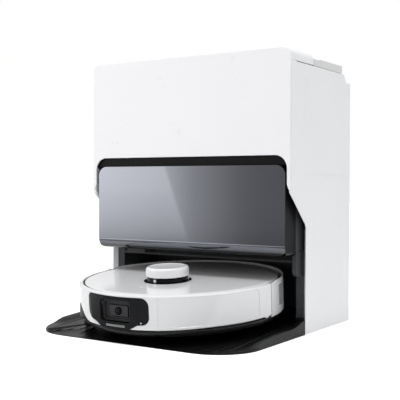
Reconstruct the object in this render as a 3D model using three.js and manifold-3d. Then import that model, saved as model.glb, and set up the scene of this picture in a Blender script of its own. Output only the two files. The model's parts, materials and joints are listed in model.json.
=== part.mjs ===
// Robot vacuum cleaner parked in its self-emptying, mop-washing station.
// Millimetres, +Z up, front faces -Y. Origin on the floor at the centre of the station's footprint.
import * as THREE from 'three';
import { mergeVertices } from 'three/addons/utils/BufferGeometryUtils.js';
import Module from 'manifold-3d';

const wasm = await Module();
wasm.setup();

// ---- driving dimensions -------------------------------------------------------------------------

const GAP = 0.3; // clearance kept between neighbouring pieces
const WALL = 3; // moulded wall of the station

const STATION = {
  halfWidth: 204.5,
  height: 470,
  panelFront: -37.5, // plane of the white upper front
  rear: 209.5,
  legFront: 20, // front edge of the side walls beside the bay
  legTop: 175.4,
  legInner: 198.6, // inner face of the return that stiffens the leg
  edgeLean: 4 / 3, // the walls' front edges lean back by this much towards the inside
  cornerRadius: 14,
  rearCorner: 10, // radius of the upright corners behind
  flange: 185, // where the side walls' rear flanges end
  foot: 2, // the side walls stop short of the floor
  deckRear: 47.2,
  deckSplit: 448, // top edge of the side walls, under the deck and the tank lids
  ledge: 433.5, // height of the step behind the tanks
  ledgeFront: { y: 183.5, slopeTop: 172.1 },
  slantTop: { y: -37.5, z: 235.6 },
  slantFoot: { y: 15.5, z: 185.6 },
};

const SHELF = { front: 43.9, bottom: 133.5, top: 135.8 }; // floor of the tank wells
const WELL = { divider: [44, 46.7], rearWall: [172, 174], middle: 1.5 }; // thin walls round the tanks
const COVER = { halfWidth: 194.25, front: -34.5, back: 3.5, bottom: 135, top: 281, wall: 3, roll: 18 };
const OPENING = { halfWidth: 198.5, top: 297, radius: 22, foot: 247 }; // in the front panel
const SURROUND = { front: -31.5, bottom: 281.6, top: 299, inner: 195.2, outer: 201, rear: 39.2, setBack: 24 };
const BAY = {
  halfWidth: 188.8, front: 28, rear: 142, ceiling: 118, wall: 3, flangeInner: 183.3, flangeOuter: 198.2,
};
const HAUNCH = { x0: 188, x1: 194.9, front: 4.2, bottom: 97, top: 137.6, radius: 9 };
const DUCT = {
  x0: -160, x1: -120, wall: 1.8, front: 8, depth: 16,
  port: [28, 62], // heights of the mouth in the bay's back wall
  roof: [122, 133], // heights of the stretch over the bay
  top: 137.7,
};
const CONTACT = { x: 29, halfWidth: 7, y0: 133.4, y1: 147, z0: 60, z1: 70 };
const INLET = { x0: 150, x1: 178, z0: 25, z1: 45 };
const BASE = { front: -209.5, rear: 206, cornerRadius: 75, floor: 4.7, curbWidth: 7, bayEnd: 145.3 };
const TANK = { x0: 2.2, x1: 199, y0: 50, y1: 169, bottom: 136.2, rim: 448.6, wall: 2.5 };
const LID = { x0: 0.8, x1: 203.5, y0: 75, y1: 169.5, bottom: 449, top: 462 };
const HINGE = { y: 165.5, z: 453 }; // of a tank's lid
const HANDLE = { y0: 51, y1: 73.5, bottom: 450, top: 461, grip: 9 };
const TRAY = { halfWidth: 130, y0: 18, y1: 125, bottom: 2.5, wall: 3 };
const SCRUB = { y0: 30, y1: 113, z: 12, radius: 4.5, foot: 5.5 };

const ROBOT = { y: -39.5, z: 12.7, tiltDegrees: 3.86, radius: 175, rim: 78, wall: 3.5 };
const BUMPER = { rear: -1.4, shellFront: 1.4, lip: 168.7 }; // the gap between them is the bumper's travel
const COVER_DISC = { radius: 165, skirt: 160.5, bottom: 69, under: 73.5, top: 77.4 };
const BUTTON = { x: 0, y: -112, radius: 7 };
const WINDOW = { from: -24.7, to: 17.9, bottom: 23, top: 74.7, inner: 172, outer: 175.6 };
const CAMERA = { x: -9, z: 49, halfWidth: 29, bottom: 34, top: 65.5, front: -164, rear: -148 };
const LED = { from: -8.5, to: 3.8, bottom: 25.4, top: 29.4 };
const VENT = { count: 8, from: 98, to: 106, bottom: 37.5, pitch: 4.6, height: 2.2 };
const TURRET = { y: -41, radius: 36.5, bandBottom: 78.6, bandTop: 86.6, top: 102.5 };
const DECK = { bottom: 66, top: 68.5, radius: 163, rearRadius: 171.2 }; // under the robot's top cover
const PAN = { bottom: 9, top: 26, radius: 171 };
const WHEEL = { x: 118, radius: 31, width: 22, pivotY: 48, pivotZ: 36 };
const CASTER = { y: -125, trail: 4, radius: 14, width: 14 };
const ROLLER = { front: -78, rear: -38, z: 24, radius: 18.5, halfLength: 88, fins: 6, finDepth: 6.5 };
const HOUSING = { x: 93, y0: -99, y1: -17, top: 46, wall: 2.4 };
const BIN = { x: 72, y0: -13, y1: 45, z0: 27, z1: 63 };
const MOP = { y0: 64, radius: 156, halfWidth: 125 };
const SIDE_BRUSH = {
  angle: -50, hubRadius: 159, pivotAngle: -28, pivotRadius: 135, reach: 73.7,
  armBottom: 47, armTop: 56, // the arm swings over the brush housing
};

const ROUND = 48; // segments on large rounds
const SMALL = 20; // segments on small rounds

const TILT = THREE.MathUtils.degToRad(ROBOT.tiltDegrees);
const slope = Math.tan(TILT);

// Height of the ramp's running surface at a given y.
function rampHeight(y) {
  return ROBOT.z - 0.4 + (y - ROBOT.y) * slope;
}

// Point at a bearing from the robot's nose, positive towards +X.
function bearing(degrees, radius) {
  const a = THREE.MathUtils.degToRad(degrees);
  return [radius * Math.sin(a), -radius * Math.cos(a)];
}

// ---- solids ---------------------------------------------------------------------------------------

function toSolid(geometry) {
  geometry.deleteAttribute('normal');
  geometry.deleteAttribute('uv');
  const merged = mergeVertices(geometry, 1e-3);
  const positions = merged.attributes.position;
  const corner = (i) => new THREE.Vector3().fromBufferAttribute(positions, i);
  const triangles = [];
  let volume = 0;
  for (let i = 0; i < merged.index.count; i += 3) {
    const [a, b, c] = [0, 1, 2].map((k) => merged.index.getX(i + k));
    if (a === b || b === c || c === a) continue;
    triangles.push(a, b, c);
    volume += corner(a).dot(corner(b).cross(corner(c)));
  }
  if (volume < 0) triangles.reverse();
  return new wasm.Manifold(new wasm.Mesh({
    numProp: 3,
    vertProperties: new Float32Array(positions.array),
    triVerts: new Uint32Array(triangles),
  }));
}

function toGeometry(solid) {
  const mesh = solid.getMesh();
  const geometry = new THREE.BufferGeometry();
  geometry.setAttribute('position', new THREE.BufferAttribute(mesh.vertProperties.slice(), 3));
  geometry.setIndex(new THREE.BufferAttribute(mesh.triVerts.slice(), 1));
  geometry.computeVertexNormals();
  return geometry;
}

const union = (...solids) => solids.reduce((sum, next) => sum.add(next));
const cut = (solid, ...tools) => tools.reduce((rest, tool) => rest.subtract(tool), solid);

function box(x0, x1, y0, y1, z0, z1) {
  const geometry = new THREE.BoxGeometry(x1 - x0, y1 - y0, z1 - z0);
  geometry.translate((x0 + x1) / 2, (y0 + y1) / 2, (z0 + z1) / 2);
  return toSolid(geometry);
}

function outline(points) {
  return new THREE.Shape(points.map(([u, v]) => new THREE.Vector2(u, v)));
}

// Rectangle with its own radius at each corner: lower left, lower right, upper right, upper left.
function roundedRect(u0, v0, u1, v1, radii) {
  const [ll, lr, ur, ul] = Array.isArray(radii) ? radii : [radii, radii, radii, radii];
  const shape = new THREE.Shape();
  shape.moveTo(u0 + ll, v0);
  shape.lineTo(u1 - lr, v0);
  if (lr) shape.absarc(u1 - lr, v0 + lr, lr, -Math.PI / 2, 0, false);
  shape.lineTo(u1, v1 - ur);
  if (ur) shape.absarc(u1 - ur, v1 - ur, ur, 0, Math.PI / 2, false);
  shape.lineTo(u0 + ul, v1);
  if (ul) shape.absarc(u0 + ul, v1 - ul, ul, Math.PI / 2, Math.PI, false);
  shape.lineTo(u0, v0 + ll);
  if (ll) shape.absarc(u0 + ll, v0 + ll, ll, Math.PI, Math.PI * 1.5, false);
  return shape;
}

function extrude(shape, length, basis, offset) {
  const options = { depth: length, bevelEnabled: false, curveSegments: 6 };
  const geometry = new THREE.ExtrudeGeometry(shape, options);
  const turn = new THREE.Matrix4().makeBasis(...basis);
  geometry.applyMatrix4(turn);
  geometry.translate(...offset);
  return toSolid(geometry);
}

const X = new THREE.Vector3(1, 0, 0);
const Y = new THREE.Vector3(0, 1, 0);
const Z = new THREE.Vector3(0, 0, 1);
const BACK = new THREE.Vector3(0, -1, 0);

// Prisms: alongX takes a (y, z) outline, alongY an (x, z) outline, alongZ an (x, y) outline.
const alongX = (shape, x0, x1) => extrude(shape, x1 - x0, [Y, Z, X], [x0, 0, 0]);
const alongY = (shape, y0, y1) => extrude(shape, y1 - y0, [X, Z, BACK], [0, y1, 0]);
const alongZ = (shape, z0, z1) => extrude(shape, z1 - z0, [X, Y, Z], [0, 0, z0]);

// Solid of revolution about a vertical axis through (x, y), from a profile of [radius, z] points.
function turned(profile, x = 0, y = 0, segments = ROUND) {
  const points = [...profile, profile[0]].map(([r, z]) => new THREE.Vector2(r, z));
  const geometry = new THREE.LatheGeometry(points, segments);
  geometry.rotateX(Math.PI / 2);
  geometry.translate(x, y, 0);
  return toSolid(geometry);
}

function post(x, y, radius, z0, z1, segments = SMALL) {
  return turned([[0, z0], [radius, z0], [radius, z1], [0, z1]], x, y, segments);
}

function cylinderX(y, z, radius, x0, x1, segments = SMALL) {
  const geometry = new THREE.CylinderGeometry(radius, radius, x1 - x0, segments);
  geometry.rotateZ(Math.PI / 2);
  geometry.translate((x0 + x1) / 2, y, z);
  return toSolid(geometry);
}

function cylinderY(x, z, radius, y0, y1, segments = SMALL) {
  const geometry = new THREE.CylinderGeometry(radius, radius, y1 - y0, segments);
  geometry.translate(x, (y0 + y1) / 2, z);
  return toSolid(geometry);
}

// Ring of rectangular section between two bearings.
function ringSector(r0, r1, from, to, z0, z1, steps = 16) {
  const step = (to - from) / steps;
  const arc = (radius) => Array.from({ length: steps + 1 }, (_, i) => bearing(from + step * i, radius));
  return alongZ(outline([...arc(r1), ...arc(r0).reverse()]), z0, z1);
}

// ---- materials ------------------------------------------------------------------------------------

const material = (color, roughness, metalness = 0) =>
  new THREE.MeshStandardMaterial({ color, roughness, metalness });

const MATERIALS = {
  stationWhite: material(0xf1f0f3, 0.35),
  stationGrey: material(0xd9dadc, 0.4),
  mirrorCover: material(0x50535c, 0.08, 0.6),
  linerBlack: material(0x17171a, 0.5),
  baseBlack: material(0x1a1a1c, 0.55),
  robotWhite: material(0xdfe1e5, 0.15),
  robotDark: material(0x3a3c3e, 0.5),
  glassBlack: material(0x101214, 0.05),
  ledGrey: material(0xb9bcbd, 0.3),
  tyreBlack: material(0x1c1c1c, 0.8),
  fanGrey: material(0x6d7074, 0.5),
  boardGreen: material(0x1f5a37, 0.6),
  metal: material(0xb08d4a, 0.3, 0.9),
  bagCloth: material(0xe8e4d8, 0.95),
  mopCloth: material(0x6b7075, 1),
  bottleBlue: material(0xc9d8e4, 0.3),
};

function add(group, name, solid, color) {
  const mesh = new THREE.Mesh(toGeometry(solid), MATERIALS[color]);
  mesh.name = name;
  group.add(mesh);
}

// ---- station: casing ------------------------------------------------------------------------------

const panelBack = STATION.panelFront + WALL;
const innerHalf = STATION.halfWidth - WALL;

// Side wall in plan, with a rounded rear corner and a short rear flange.
function sideWallPlan(side) {
  const { halfWidth: outer, rear, rearCorner: r, flange, foot, deckSplit } = STATION;
  const shape = new THREE.Shape();
  const y = rear - r;
  shape.moveTo(innerHalf, panelBack + GAP);
  shape.lineTo(outer, panelBack + GAP);
  shape.lineTo(outer, y);
  shape.absarc(outer - r, y, r, 0, Math.PI / 2, false);
  shape.lineTo(flange, rear);
  shape.lineTo(flange, rear - WALL);
  shape.lineTo(outer - r, rear - WALL);
  shape.absarc(outer - r, y, r - WALL, Math.PI / 2, 0, true);
  const wall = alongZ(shape, foot, deckSplit);
  return side > 0 ? wall : wall.mirror([1, 0, 0]);
}

// Height of the side walls' slanted front edge at a given y.
function slantHeight(y) {
  const { slantTop, slantFoot } = STATION;
  return slantTop.z + ((y - slantTop.y) * (slantFoot.z - slantTop.z)) / (slantFoot.y - slantTop.y);
}

// The space in front of the side walls' edges, which lean back towards the inside.
function edgeSpace() {
  const { halfWidth, legFront, legTop, slantFoot, edgeLean } = STATION;
  const inside = 12;
  const front = -60;
  const leaning = new THREE.Vector3(1, -edgeLean, 0);
  const space = outline([
    [front, -5], [legFront, -5], [legFront, legTop], [slantFoot.y, slantFoot.z], [front, slantHeight(front)],
  ]);
  const start = [halfWidth - inside, inside * edgeLean, 0];
  return extrude(space, inside + 1, [Y, Z, leaning], start);
}

// Side walls with the bay's slanted front edge, and the thin inner walls that hold the tanks.
function dockShell() {
  const { legFront, legTop, legInner, foot, rear, deckSplit, ledge, ledgeFront } = STATION;
  const front = panelBack + GAP;
  const side = alongX(outline([
    [front, foot], [rear, foot], [rear, ledge], [ledgeFront.y, ledge], [ledgeFront.slopeTop, deckSplit],
    [front, deckSplit],
  ]), -STATION.halfWidth, STATION.halfWidth);
  const returnWall = box(legInner, innerHalf + 0.1, legFront, legFront + 14, foot, legTop - 2);
  const right = cut(union(sideWallPlan(1).intersect(side), returnWall), edgeSpace());
  const walls = union(right, right.mirror([1, 0, 0]));
  const reach = innerHalf + 0.5;
  const low = SHELF.top - 0.3;
  const shelf = box(-reach, reach, SHELF.front, rear - WALL - GAP, SHELF.bottom, SHELF.top);
  const divider = box(-reach, reach, ...WELL.divider, low, deckSplit - 1);
  const rearWall = box(-reach, reach, ...WELL.rearWall, low, ledge - WALL - 0.5);
  const between = [WELL.divider[1] - 0.2, WELL.rearWall[0] + 0.2];
  const middle = box(-WELL.middle, WELL.middle, ...between, low, deckSplit - 8);
  return union(walls, shelf.intersect(boundedRear()), divider, rearWall, middle);
}

// Plan of everything that fits inside the side walls' rounded rear corners.
function boundedRear() {
  const wide = innerHalf + 0.5;
  const r = STATION.rearCorner - WALL;
  return alongZ(roundedRect(-wide, -60, wide, STATION.rear - WALL - GAP, [0, 0, r, r]), 0, STATION.height);
}

function frontPanel() {
  const { halfWidth: half, height, cornerRadius, panelFront, slantTop } = STATION;
  const { halfWidth: inner, top, radius: r, foot } = OPENING;
  const plate = roundedRect(-half, slantTop.z + 1.5, half, height, [0, 0, cornerRadius, cornerRadius]);
  const arch = roundedRect(-inner, slantTop.z - 40, inner, top, [0, 0, r, r]);
  const spread = (half - inner) * 2;
  const flare = foot - ((foot - slantTop.z) * spread) / (half - inner);
  const feet = outline([[-inner, foot], [-inner - spread, flare], [inner + spread, flare], [inner, foot]]);
  const pierced = (shape) => alongY(shape, panelFront - 1, panelBack + 1);
  const opening = union(pierced(arch), pierced(feet));
  return cut(alongY(plate, panelFront, panelBack), opening);
}

function topDeck() {
  const { halfWidth, height, cornerRadius, deckSplit, deckRear } = STATION;
  const bottom = deckSplit + 1.5;
  const front = panelBack + GAP;
  const r = cornerRadius;
  const outer = alongY(roundedRect(-halfWidth, bottom, halfWidth, height, [0, 0, r, r]), front, deckRear);
  const core = roundedRect(-innerHalf, bottom - 5, innerHalf, height - WALL, [0, 0, r - WALL, r - WALL]);
  return cut(outer, alongY(core, front - 1, deckRear - WALL));
}

// Back plate, and the ledge that slopes up from it to the tank wells.
function rearCover() {
  const { rear, ledge, ledgeFront, flange, rearCorner } = STATION;
  const half = innerHalf - 0.5;
  const back = rear - WALL - GAP;
  const plate = box(GAP - flange, flange - GAP, rear - WALL, rear, 5, ledge);
  const bridge = box(GAP - flange, flange - GAP, back - 1, rear - 2, ledge - WALL, ledge);
  const slope = outline([
    [back, ledge - WALL], [back, ledge], [ledgeFront.y + GAP, ledge], [174.3, 446], [172.4, 446],
    [172.4, 443.6], [ledgeFront.y - 1.1, ledge - WALL],
  ]);
  const r = rearCorner - WALL - 0.5;
  const plan = alongZ(roundedRect(-half, 100, half, back, [0, 0, r, r]), ledge - 40, ledge + 40);
  const inlet = box(INLET.x0 - GAP, INLET.x1 + GAP, back - 10, rear + 10, INLET.z0 - GAP, INLET.z1 + GAP);
  return cut(union(alongX(slope, -half, half).intersect(plan), plate, bridge), inlet);
}

// Black surround of the dust compartment: a band above the cover and a cheek at each side.
function baySurround() {
  const { front, bottom, top, inner, outer, rear, setBack } = SURROUND;
  const band = box(-outer, outer, front, front + WALL, bottom, top);
  const high = STATION.slantTop.y + setBack;
  const low = rear - 5;
  const cheek = outline([
    [front, top], [front, bottom], [high, bottom - 15], [high, STATION.slantTop.z],
    [low, slantHeight(low - setBack)], [low, COVER.bottom + 3], [rear, COVER.bottom + 3], [rear, top],
  ]);
  return union(band, alongX(cheek, inner, outer), alongX(cheek, -outer, -inner));
}

// Black lining of the robot's bay, with slots for the charge contacts and the port of the suction duct.
function bayLiner() {
  const { halfWidth, front, rear, ceiling, wall, flangeInner, flangeOuter } = BAY;
  const { x0, x1, front: haunchFront, bottom, top, radius } = HAUNCH;
  const outer = halfWidth + wall;
  const foot = 0.6;
  const haunch = roundedRect(haunchFront, bottom, front + wall, top, [radius, 0, 0, 0]);
  const right = union(
    box(halfWidth, outer, front, rear + wall, foot, ceiling + wall),
    box(halfWidth, flangeOuter, front, front + wall, foot, top),
    box(flangeInner, halfWidth + 0.1, front, front + wall, rampHeight(front + wall) + foot, top),
    alongX(haunch, x0, x1),
  );
  const roof = box(-outer, outer, 5, rear + wall, ceiling, ceiling + wall);
  const back = box(-outer, outer, rear, rear + wall, rampHeight(rear) + 0.6, ceiling + wall);
  const reach = CONTACT.halfWidth + 0.4;
  const slots = [-CONTACT.x, CONTACT.x].map(
    (x) => box(x - reach, x + reach, rear - 5, rear + 10, CONTACT.z0 - 0.4, CONTACT.z1 + 0.4));
  const port = box(DUCT.x0 + 3, DUCT.x1 - 3, rear - 5, rear + 10, DUCT.port[0] + 4, DUCT.port[1] - 4);
  return cut(union(right, right.mirror([1, 0, 0]), roof, back), ...slots, port);
}

// ---- station: dust side ---------------------------------------------------------------------------

// Deep front cover, open behind, with its lower edge rolled back.
function dustCover() {
  const { halfWidth, front, back, bottom, top, wall, roll } = COVER;
  const tub = (inset) => {
    const half = halfWidth - inset;
    const low = bottom + inset;
    const high = top - inset;
    const section = roundedRect(front + inset, low, back + inset, high, [roll - inset, 0, 0, 0]);
    const face = roundedRect(-half, low, half, high, [7, 7, 17, 17].map((r) => r - inset));
    return alongX(section, -half, half).intersect(alongY(face, front, back + 20));
  };
  return cut(tub(0), tub(wall));
}

// Open-fronted box behind the cover: the bag's room on the left, the detergent bottle's on the right.
function dustCompartment() {
  const { halfWidth, back, top } = COVER;
  const wall = 2.5;
  const partition = 100;
  const [low, high, rear] = [138, top, SHELF.front - GAP];
  const outer = box(-halfWidth, halfWidth, back + GAP, rear, low, high);
  const room = (x0, x1) => box(x0, x1, back - 1, rear - wall, low + wall, high - wall);
  const bagRoom = room(wall - halfWidth, partition);
  const bottleRoom = room(partition + wall, halfWidth - wall);
  const ductRear = DUCT.front + DUCT.depth;
  const inlet = box(DUCT.x0 + 5, DUCT.x1 - 5, DUCT.front + 1.5, ductRear - 1, low - 1, low + 4);
  return cut(outer, bagRoom, bottleRoom, inlet);
}

// Pillow outline with rounded rims, used for the paper bag.
function dustBag() {
  const rim = 9;
  const shape = roundedRect(rim - 185, 145 + rim, 97 - rim, 267 - rim, 16);
  const geometry = new THREE.ExtrudeGeometry(shape, {
    depth: 34, bevelEnabled: true, bevelThickness: rim, bevelSize: rim, bevelSegments: 2, curveSegments: 4,
  });
  geometry.applyMatrix4(new THREE.Matrix4().makeBasis(X, Z, BACK));
  geometry.translate(0, 27, 0);
  return toSolid(geometry);
}

function detergentBottle() {
  const body = alongY(roundedRect(110, 144, 182, 252, 12), -20, 37);
  const cap = post(146, 8, 14, 250, 268);
  return union(body, cap);
}

function suctionMotor() {
  const [x, z, front] = [-110, 362, -24];
  const fanHousing = cylinderY(x, z, 44, front, front + 34, 32);
  const motor = cylinderY(x, z, 32, front + 30, front + 62, 32);
  const spigot = box(x - 10, x + 10, front + 4, front + 26, z - 60, z - 32);
  return union(fanHousing, motor, spigot);
}

// Flat suction duct: up behind the bay, forward over its ceiling and up into the dust compartment.
function dustDuct() {
  const { x0, x1, wall, front, depth, port, roof, top } = DUCT;
  const mouth = BAY.rear + BAY.wall + GAP; // the face that meets the bay's back wall
  const rear = mouth + depth + 1;
  const elbow = (inset, open) => {
    const low = port[0] + inset;
    const high = port[1] - inset;
    const step = mouth + 1 + inset;
    const floor = roof[0] + inset;
    const ceiling = roof[1] - inset;
    const riser = front + depth - inset;
    return outline([
      [front + inset, floor], [step, floor], [step, high], [mouth - open, high], [mouth - open, low],
      [rear - inset, low], [rear - inset, ceiling], [riser, ceiling], [riser, top + open],
      [front + inset, top + open],
    ]);
  };
  const room = alongX(elbow(wall, 5), x0 + wall, x1 - wall);
  return cut(alongX(elbow(0, 0), x0, x1), room);
}

// ---- station: water side --------------------------------------------------------------------------

function tankBody() {
  const { x0, x1, y0, y1, bottom, rim, wall } = TANK;
  const outer = alongZ(roundedRect(x0, y0, x1, y1, 8), bottom, rim);
  const room = alongZ(roundedRect(x0 + wall, y0 + wall, x1 - wall, y1 - wall, 6), bottom + wall, rim - 3);
  const mouth = box(x0 + 6, x1 - 6, LID.y0 + 4, y1 - 10, rim - 10, rim + 1);
  return cut(outer, room, mouth);
}

// Lid whose rear edge is rounded about its hinge, so that it clears the tank as it opens.
function tankLid() {
  const { x0, x1, y0, y1, bottom, top } = LID;
  const r = HINGE.z - bottom;
  const section = roundedRect(y0, bottom, y1, top, [0, r, 1, 1]);
  const under = box(x0 + 2.5, x1 - 2.5, y0 + 2.5, HINGE.y - r - 1, bottom - 1, top - 3);
  const corners = alongZ(roundedRect(x0, y0, x1, y1, [1, 4, 4, 1]), bottom, top);
  return cut(alongX(section, x0, x1).intersect(corners), under);
}

// Folding carrying handle in front of the lid, with round ends about its pivot.
function tankHandle() {
  const { y0, y1, bottom, top, grip } = HANDLE;
  const r = (top - bottom) / 2;
  const frame = alongX(roundedRect(y0, bottom, y1, top, [1, r, r, 1]), LID.x0, LID.x1);
  return cut(frame, box(LID.x0 + grip, LID.x1 - grip, y0 + grip, y1 + 1, bottom - 1, top + 1));
}

function waterPump() {
  const [y, low, high] = [175, 8, 50];
  const body = box(-100, -52, y - 25, y + 25, low, high);
  const motor = cylinderX(y, (low + high) / 2, 18, -54, -20, 24);
  const outlet = post(-76, y, 6, high - 2, high + 14);
  return union(body, motor, outlet);
}

function dryingFan() {
  const [y, z, radius] = [174, 40, 27];
  const scroll = cylinderX(y, z, radius, 30, 78, 32);
  const outlet = box(40, 74, y - radius + 1, y + 2, z + 22, z + 44);
  return union(scroll, outlet);
}

function powerBoard() {
  const face = 188;
  const board = box(-130, 130, face - 2, face, 180, 400);
  const places = [[-100, 200], [-40, 230], [30, 200], [80, 290], [-70, 320]];
  const blocks = places.map(([x, z]) => box(x, x + 34, face - 0.5, face + 14, z, z + 46));
  return union(board, ...blocks);
}

function mainsInlet() {
  const { x0, x1, z0, z1 } = INLET;
  const [front, rear, wall] = [186, 209, 3];
  const body = box(x0, x1, front, rear, z0, z1);
  return cut(body, box(x0 + wall, x1 - wall, front + 8, rear + wall, z0 + wall, z1 - wall));
}

function chargeContact(side) {
  const { x, halfWidth, y0, y1, z0, z1 } = CONTACT;
  return box(side * x - halfWidth, side * x + halfWidth, y0, y1, z0, z1);
}

// ---- station: base and mop washing ----------------------------------------------------------------

// Base of the station: the sloping ramp with curbs at its sides, wheel wells and the wash tray's opening.
function basePlate() {
  const { front, rear, cornerRadius: r, floor, curbWidth, bayEnd } = BASE;
  const half = STATION.halfWidth;
  const inside = BAY.halfWidth - 0.4;
  const outside = BAY.flangeOuter;
  const apronEnd = STATION.legFront - GAP;
  const section = outline([
    [front, 0], [rear, 0], [rear, floor], [bayEnd, floor], [bayEnd, rampHeight(bayEnd)],
    [front, rampHeight(front)],
  ]);
  const plan = new THREE.Shape();
  plan.moveTo(-half, apronEnd);
  plan.lineTo(-half, front + r);
  plan.absarc(-half + r, front + r, r, Math.PI, Math.PI * 1.5, false);
  plan.lineTo(half - r, front);
  plan.absarc(half - r, front + r, r, -Math.PI / 2, 0, false);
  plan.lineTo(half, apronEnd);
  const deep = box(-inside, inside, apronEnd - 1, rear, -1, 40);
  const slab = alongX(section, -half, half).intersect(union(alongZ(plan, -1, 40), deep));
  const curbTop = outline([
    [-147.5, 3], [-147.5, 5.5], [-117, 11], [-84, 14.5], [-30, 17], [apronEnd, 25], [apronEnd, 3],
  ]);
  const wingEnd = BAY.front - 0.4;
  const wingTop = outline([[apronEnd - 1, 3], [apronEnd - 1, 24.6], [wingEnd, 27], [wingEnd, 3]]);
  const right = union(alongX(curbTop, half - curbWidth, half), alongX(wingTop, inside - 1, outside));
  const { halfWidth: trayHalf, y0, y1, bottom } = TRAY;
  const clear = 0.4;
  const trayHole = box(-trayHalf - clear, trayHalf + clear, y0 - clear, y1 + clear, bottom - GAP, 60);
  const wheelHalf = WHEEL.width / 2 + 2;
  const well = box(WHEEL.x - wheelHalf, WHEEL.x + wheelHalf, ROBOT.y - 24, ROBOT.y + 22, 5, 60);
  return cut(union(slab, right, right.mirror([1, 0, 0])), trayHole, well, well.mirror([1, 0, 0]));
}

function washTray() {
  const { halfWidth, y0, y1, bottom, wall } = TRAY;
  const lip = 0.4;
  const section = outline([
    [y0, bottom], [y1, bottom], [y1, rampHeight(y1) - lip], [y0, rampHeight(y0) - lip],
  ]);
  const room = box(-halfWidth + wall, halfWidth - wall, y0 + wall, y1 - wall, bottom + 2.6, 60);
  return cut(alongX(section, -halfWidth, halfWidth), room);
}

function scrubCarriage() {
  const { y0, y1, z, foot } = SCRUB;
  const post0 = y0 - 5;
  const post1 = y1 + 5;
  const base = box(-14, 14, post0, post1, foot, foot + 1.6);
  const posts = [[post0, post0 + 3], [post1 - 3, post1]].map(([a, b]) => box(-6, 6, a, b, foot, z + 3));
  return cut(union(base, ...posts), cylinderY(0, z, 1.7, post0 - 5, post1 + 4));
}

function scrubBrush() {
  const { y0, y1, z, radius } = SCRUB;
  return union(cylinderY(0, z, 1.4, y0 - 4.5, y1 + 4.5), cylinderY(0, z, radius, y0, y1, 16));
}

// ---- robot: casing (robot frame: origin on its ground plane, nose towards -Y) ----------------------

function arm() {
  const [hubX, hubY] = bearing(SIDE_BRUSH.angle, SIDE_BRUSH.hubRadius);
  const [pivotX, pivotY] = bearing(SIDE_BRUSH.pivotAngle, SIDE_BRUSH.pivotRadius);
  return { hubX, hubY, pivotX, pivotY };
}

// Upright slab with round ends between two points.
function capsule(ax, ay, bx, by, radius, z0, z1) {
  const angle = Math.atan2(by - ay, bx - ax);
  const shape = new THREE.Shape();
  shape.absarc(bx, by, radius, angle - Math.PI / 2, angle + Math.PI / 2, false);
  shape.absarc(ax, ay, radius, angle + Math.PI / 2, angle + Math.PI * 1.5, false);
  return alongZ(shape, z0, z1);
}

// Half-moon plan of the mop, straight in front and round behind.
function mopOutline(inset) {
  const { y0, radius, halfWidth } = MOP;
  const r = radius - inset;
  const half = halfWidth - inset;
  const from = Math.acos(half / r);
  const shape = new THREE.Shape();
  shape.moveTo(-half, y0 + inset);
  shape.lineTo(half, y0 + inset);
  shape.absarc(0, 0, r, from, Math.PI - from, false);
  return shape;
}

// Floor pan, open where the wheels, the brushes, the caster, the mop and the side brush arm are.
function robotChassis() {
  const { bottom, top, radius } = PAN;
  const ledge = 22.8;
  const pan = turned([
    [0, bottom], [150, bottom], [163, 11.5], [170, 17], [radius, ledge], [166, ledge], [166, top], [0, top],
  ]);
  const well = box(96, 133, -37, 60, 0, 40);
  const wells = [well, well.mirror([1, 0, 0])];
  const { x, y0, y1 } = HOUSING;
  const brushHole = box(-x - 0.4, x + 0.4, y0 - 0.4, y1 + 0.4, 0, 40);
  const casterHole = post(0, CASTER.y, 21, 0, 40, 24);
  const mopRoom = alongZ(mopOutline(-1), 0, 23.4);
  const { hubX, hubY } = arm();
  const armRoom = capsule(hubX - 10, hubY - 36, hubX + 3.8, hubY + 13, 19, 0, 40);
  return cut(pan, ...wells, brushHole, casterHole, mopRoom, armRoom);
}

const halfSpace = (y0, y1) => box(-200, 200, y0, y1, 0, 100);

// Rear half of the side, with a standing rim and the vent slots.
function bodyShell() {
  const { radius, rim, wall } = ROBOT;
  const inner = radius - wall;
  const ring = turned([
    [inner, 22], [radius - 1.6, 22], [radius, 25], [radius, rim - 3], [radius - 1.6, rim], [inner + 0.7, rim],
    [inner, rim - 7],
  ]);
  const { count, from, to, bottom, pitch, height } = VENT;
  const slots = Array.from({ length: count }, (_, i) => {
    const z = bottom + i * pitch;
    return ringSector(165, 180, from, to, z, z + height, 3);
  });
  return cut(ring.intersect(halfSpace(BUMPER.shellFront, 200)), ...slots);
}

function topCover() {
  const { radius, skirt, bottom, under, top } = COVER_DISC;
  const dish = turned([
    [0, under], [skirt, under], [skirt, bottom], [radius, bottom], [radius, top - 1.4], [radius - 1.5, top],
    [0, top],
  ]);
  const turretHole = post(0, TURRET.y, TURRET.radius + 2.1, 60, 90, 40);
  return cut(dish, turretHole, post(BUTTON.x, BUTTON.y, BUTTON.radius + 0.4, 60, 90));
}

function powerButton() {
  return post(BUTTON.x, BUTTON.y, BUTTON.radius, DECK.top + 2.5, COVER_DISC.top + GAP);
}

// Front half of the side with its lip, open for the camera window and for the side brush arm.
function bumper() {
  const { radius, rim, wall } = ROBOT;
  const { rear, lip } = BUMPER;
  const inner = radius - wall;
  const ring = turned([
    [inner, 24], [radius - 1.6, 23.6], [radius, 26], [radius, rim - 3], [radius - 1.4, rim - 1.6],
    [lip + 1.9, rim], [lip, rim], [lip, rim - 3], [inner, rim - 6],
  ]);
  const gap = 0.2; // degrees
  const window = ringSector(160, 190, WINDOW.from - gap, WINDOW.to + gap, 20, WINDOW.top + GAP);
  const armGate = union(ringSector(160, 190, -64, -30, 10, 49), ringSector(160, 190, -69, -28, 10, 36));
  return cut(ring.intersect(halfSpace(-200, rear)), window, armGate);
}

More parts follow.
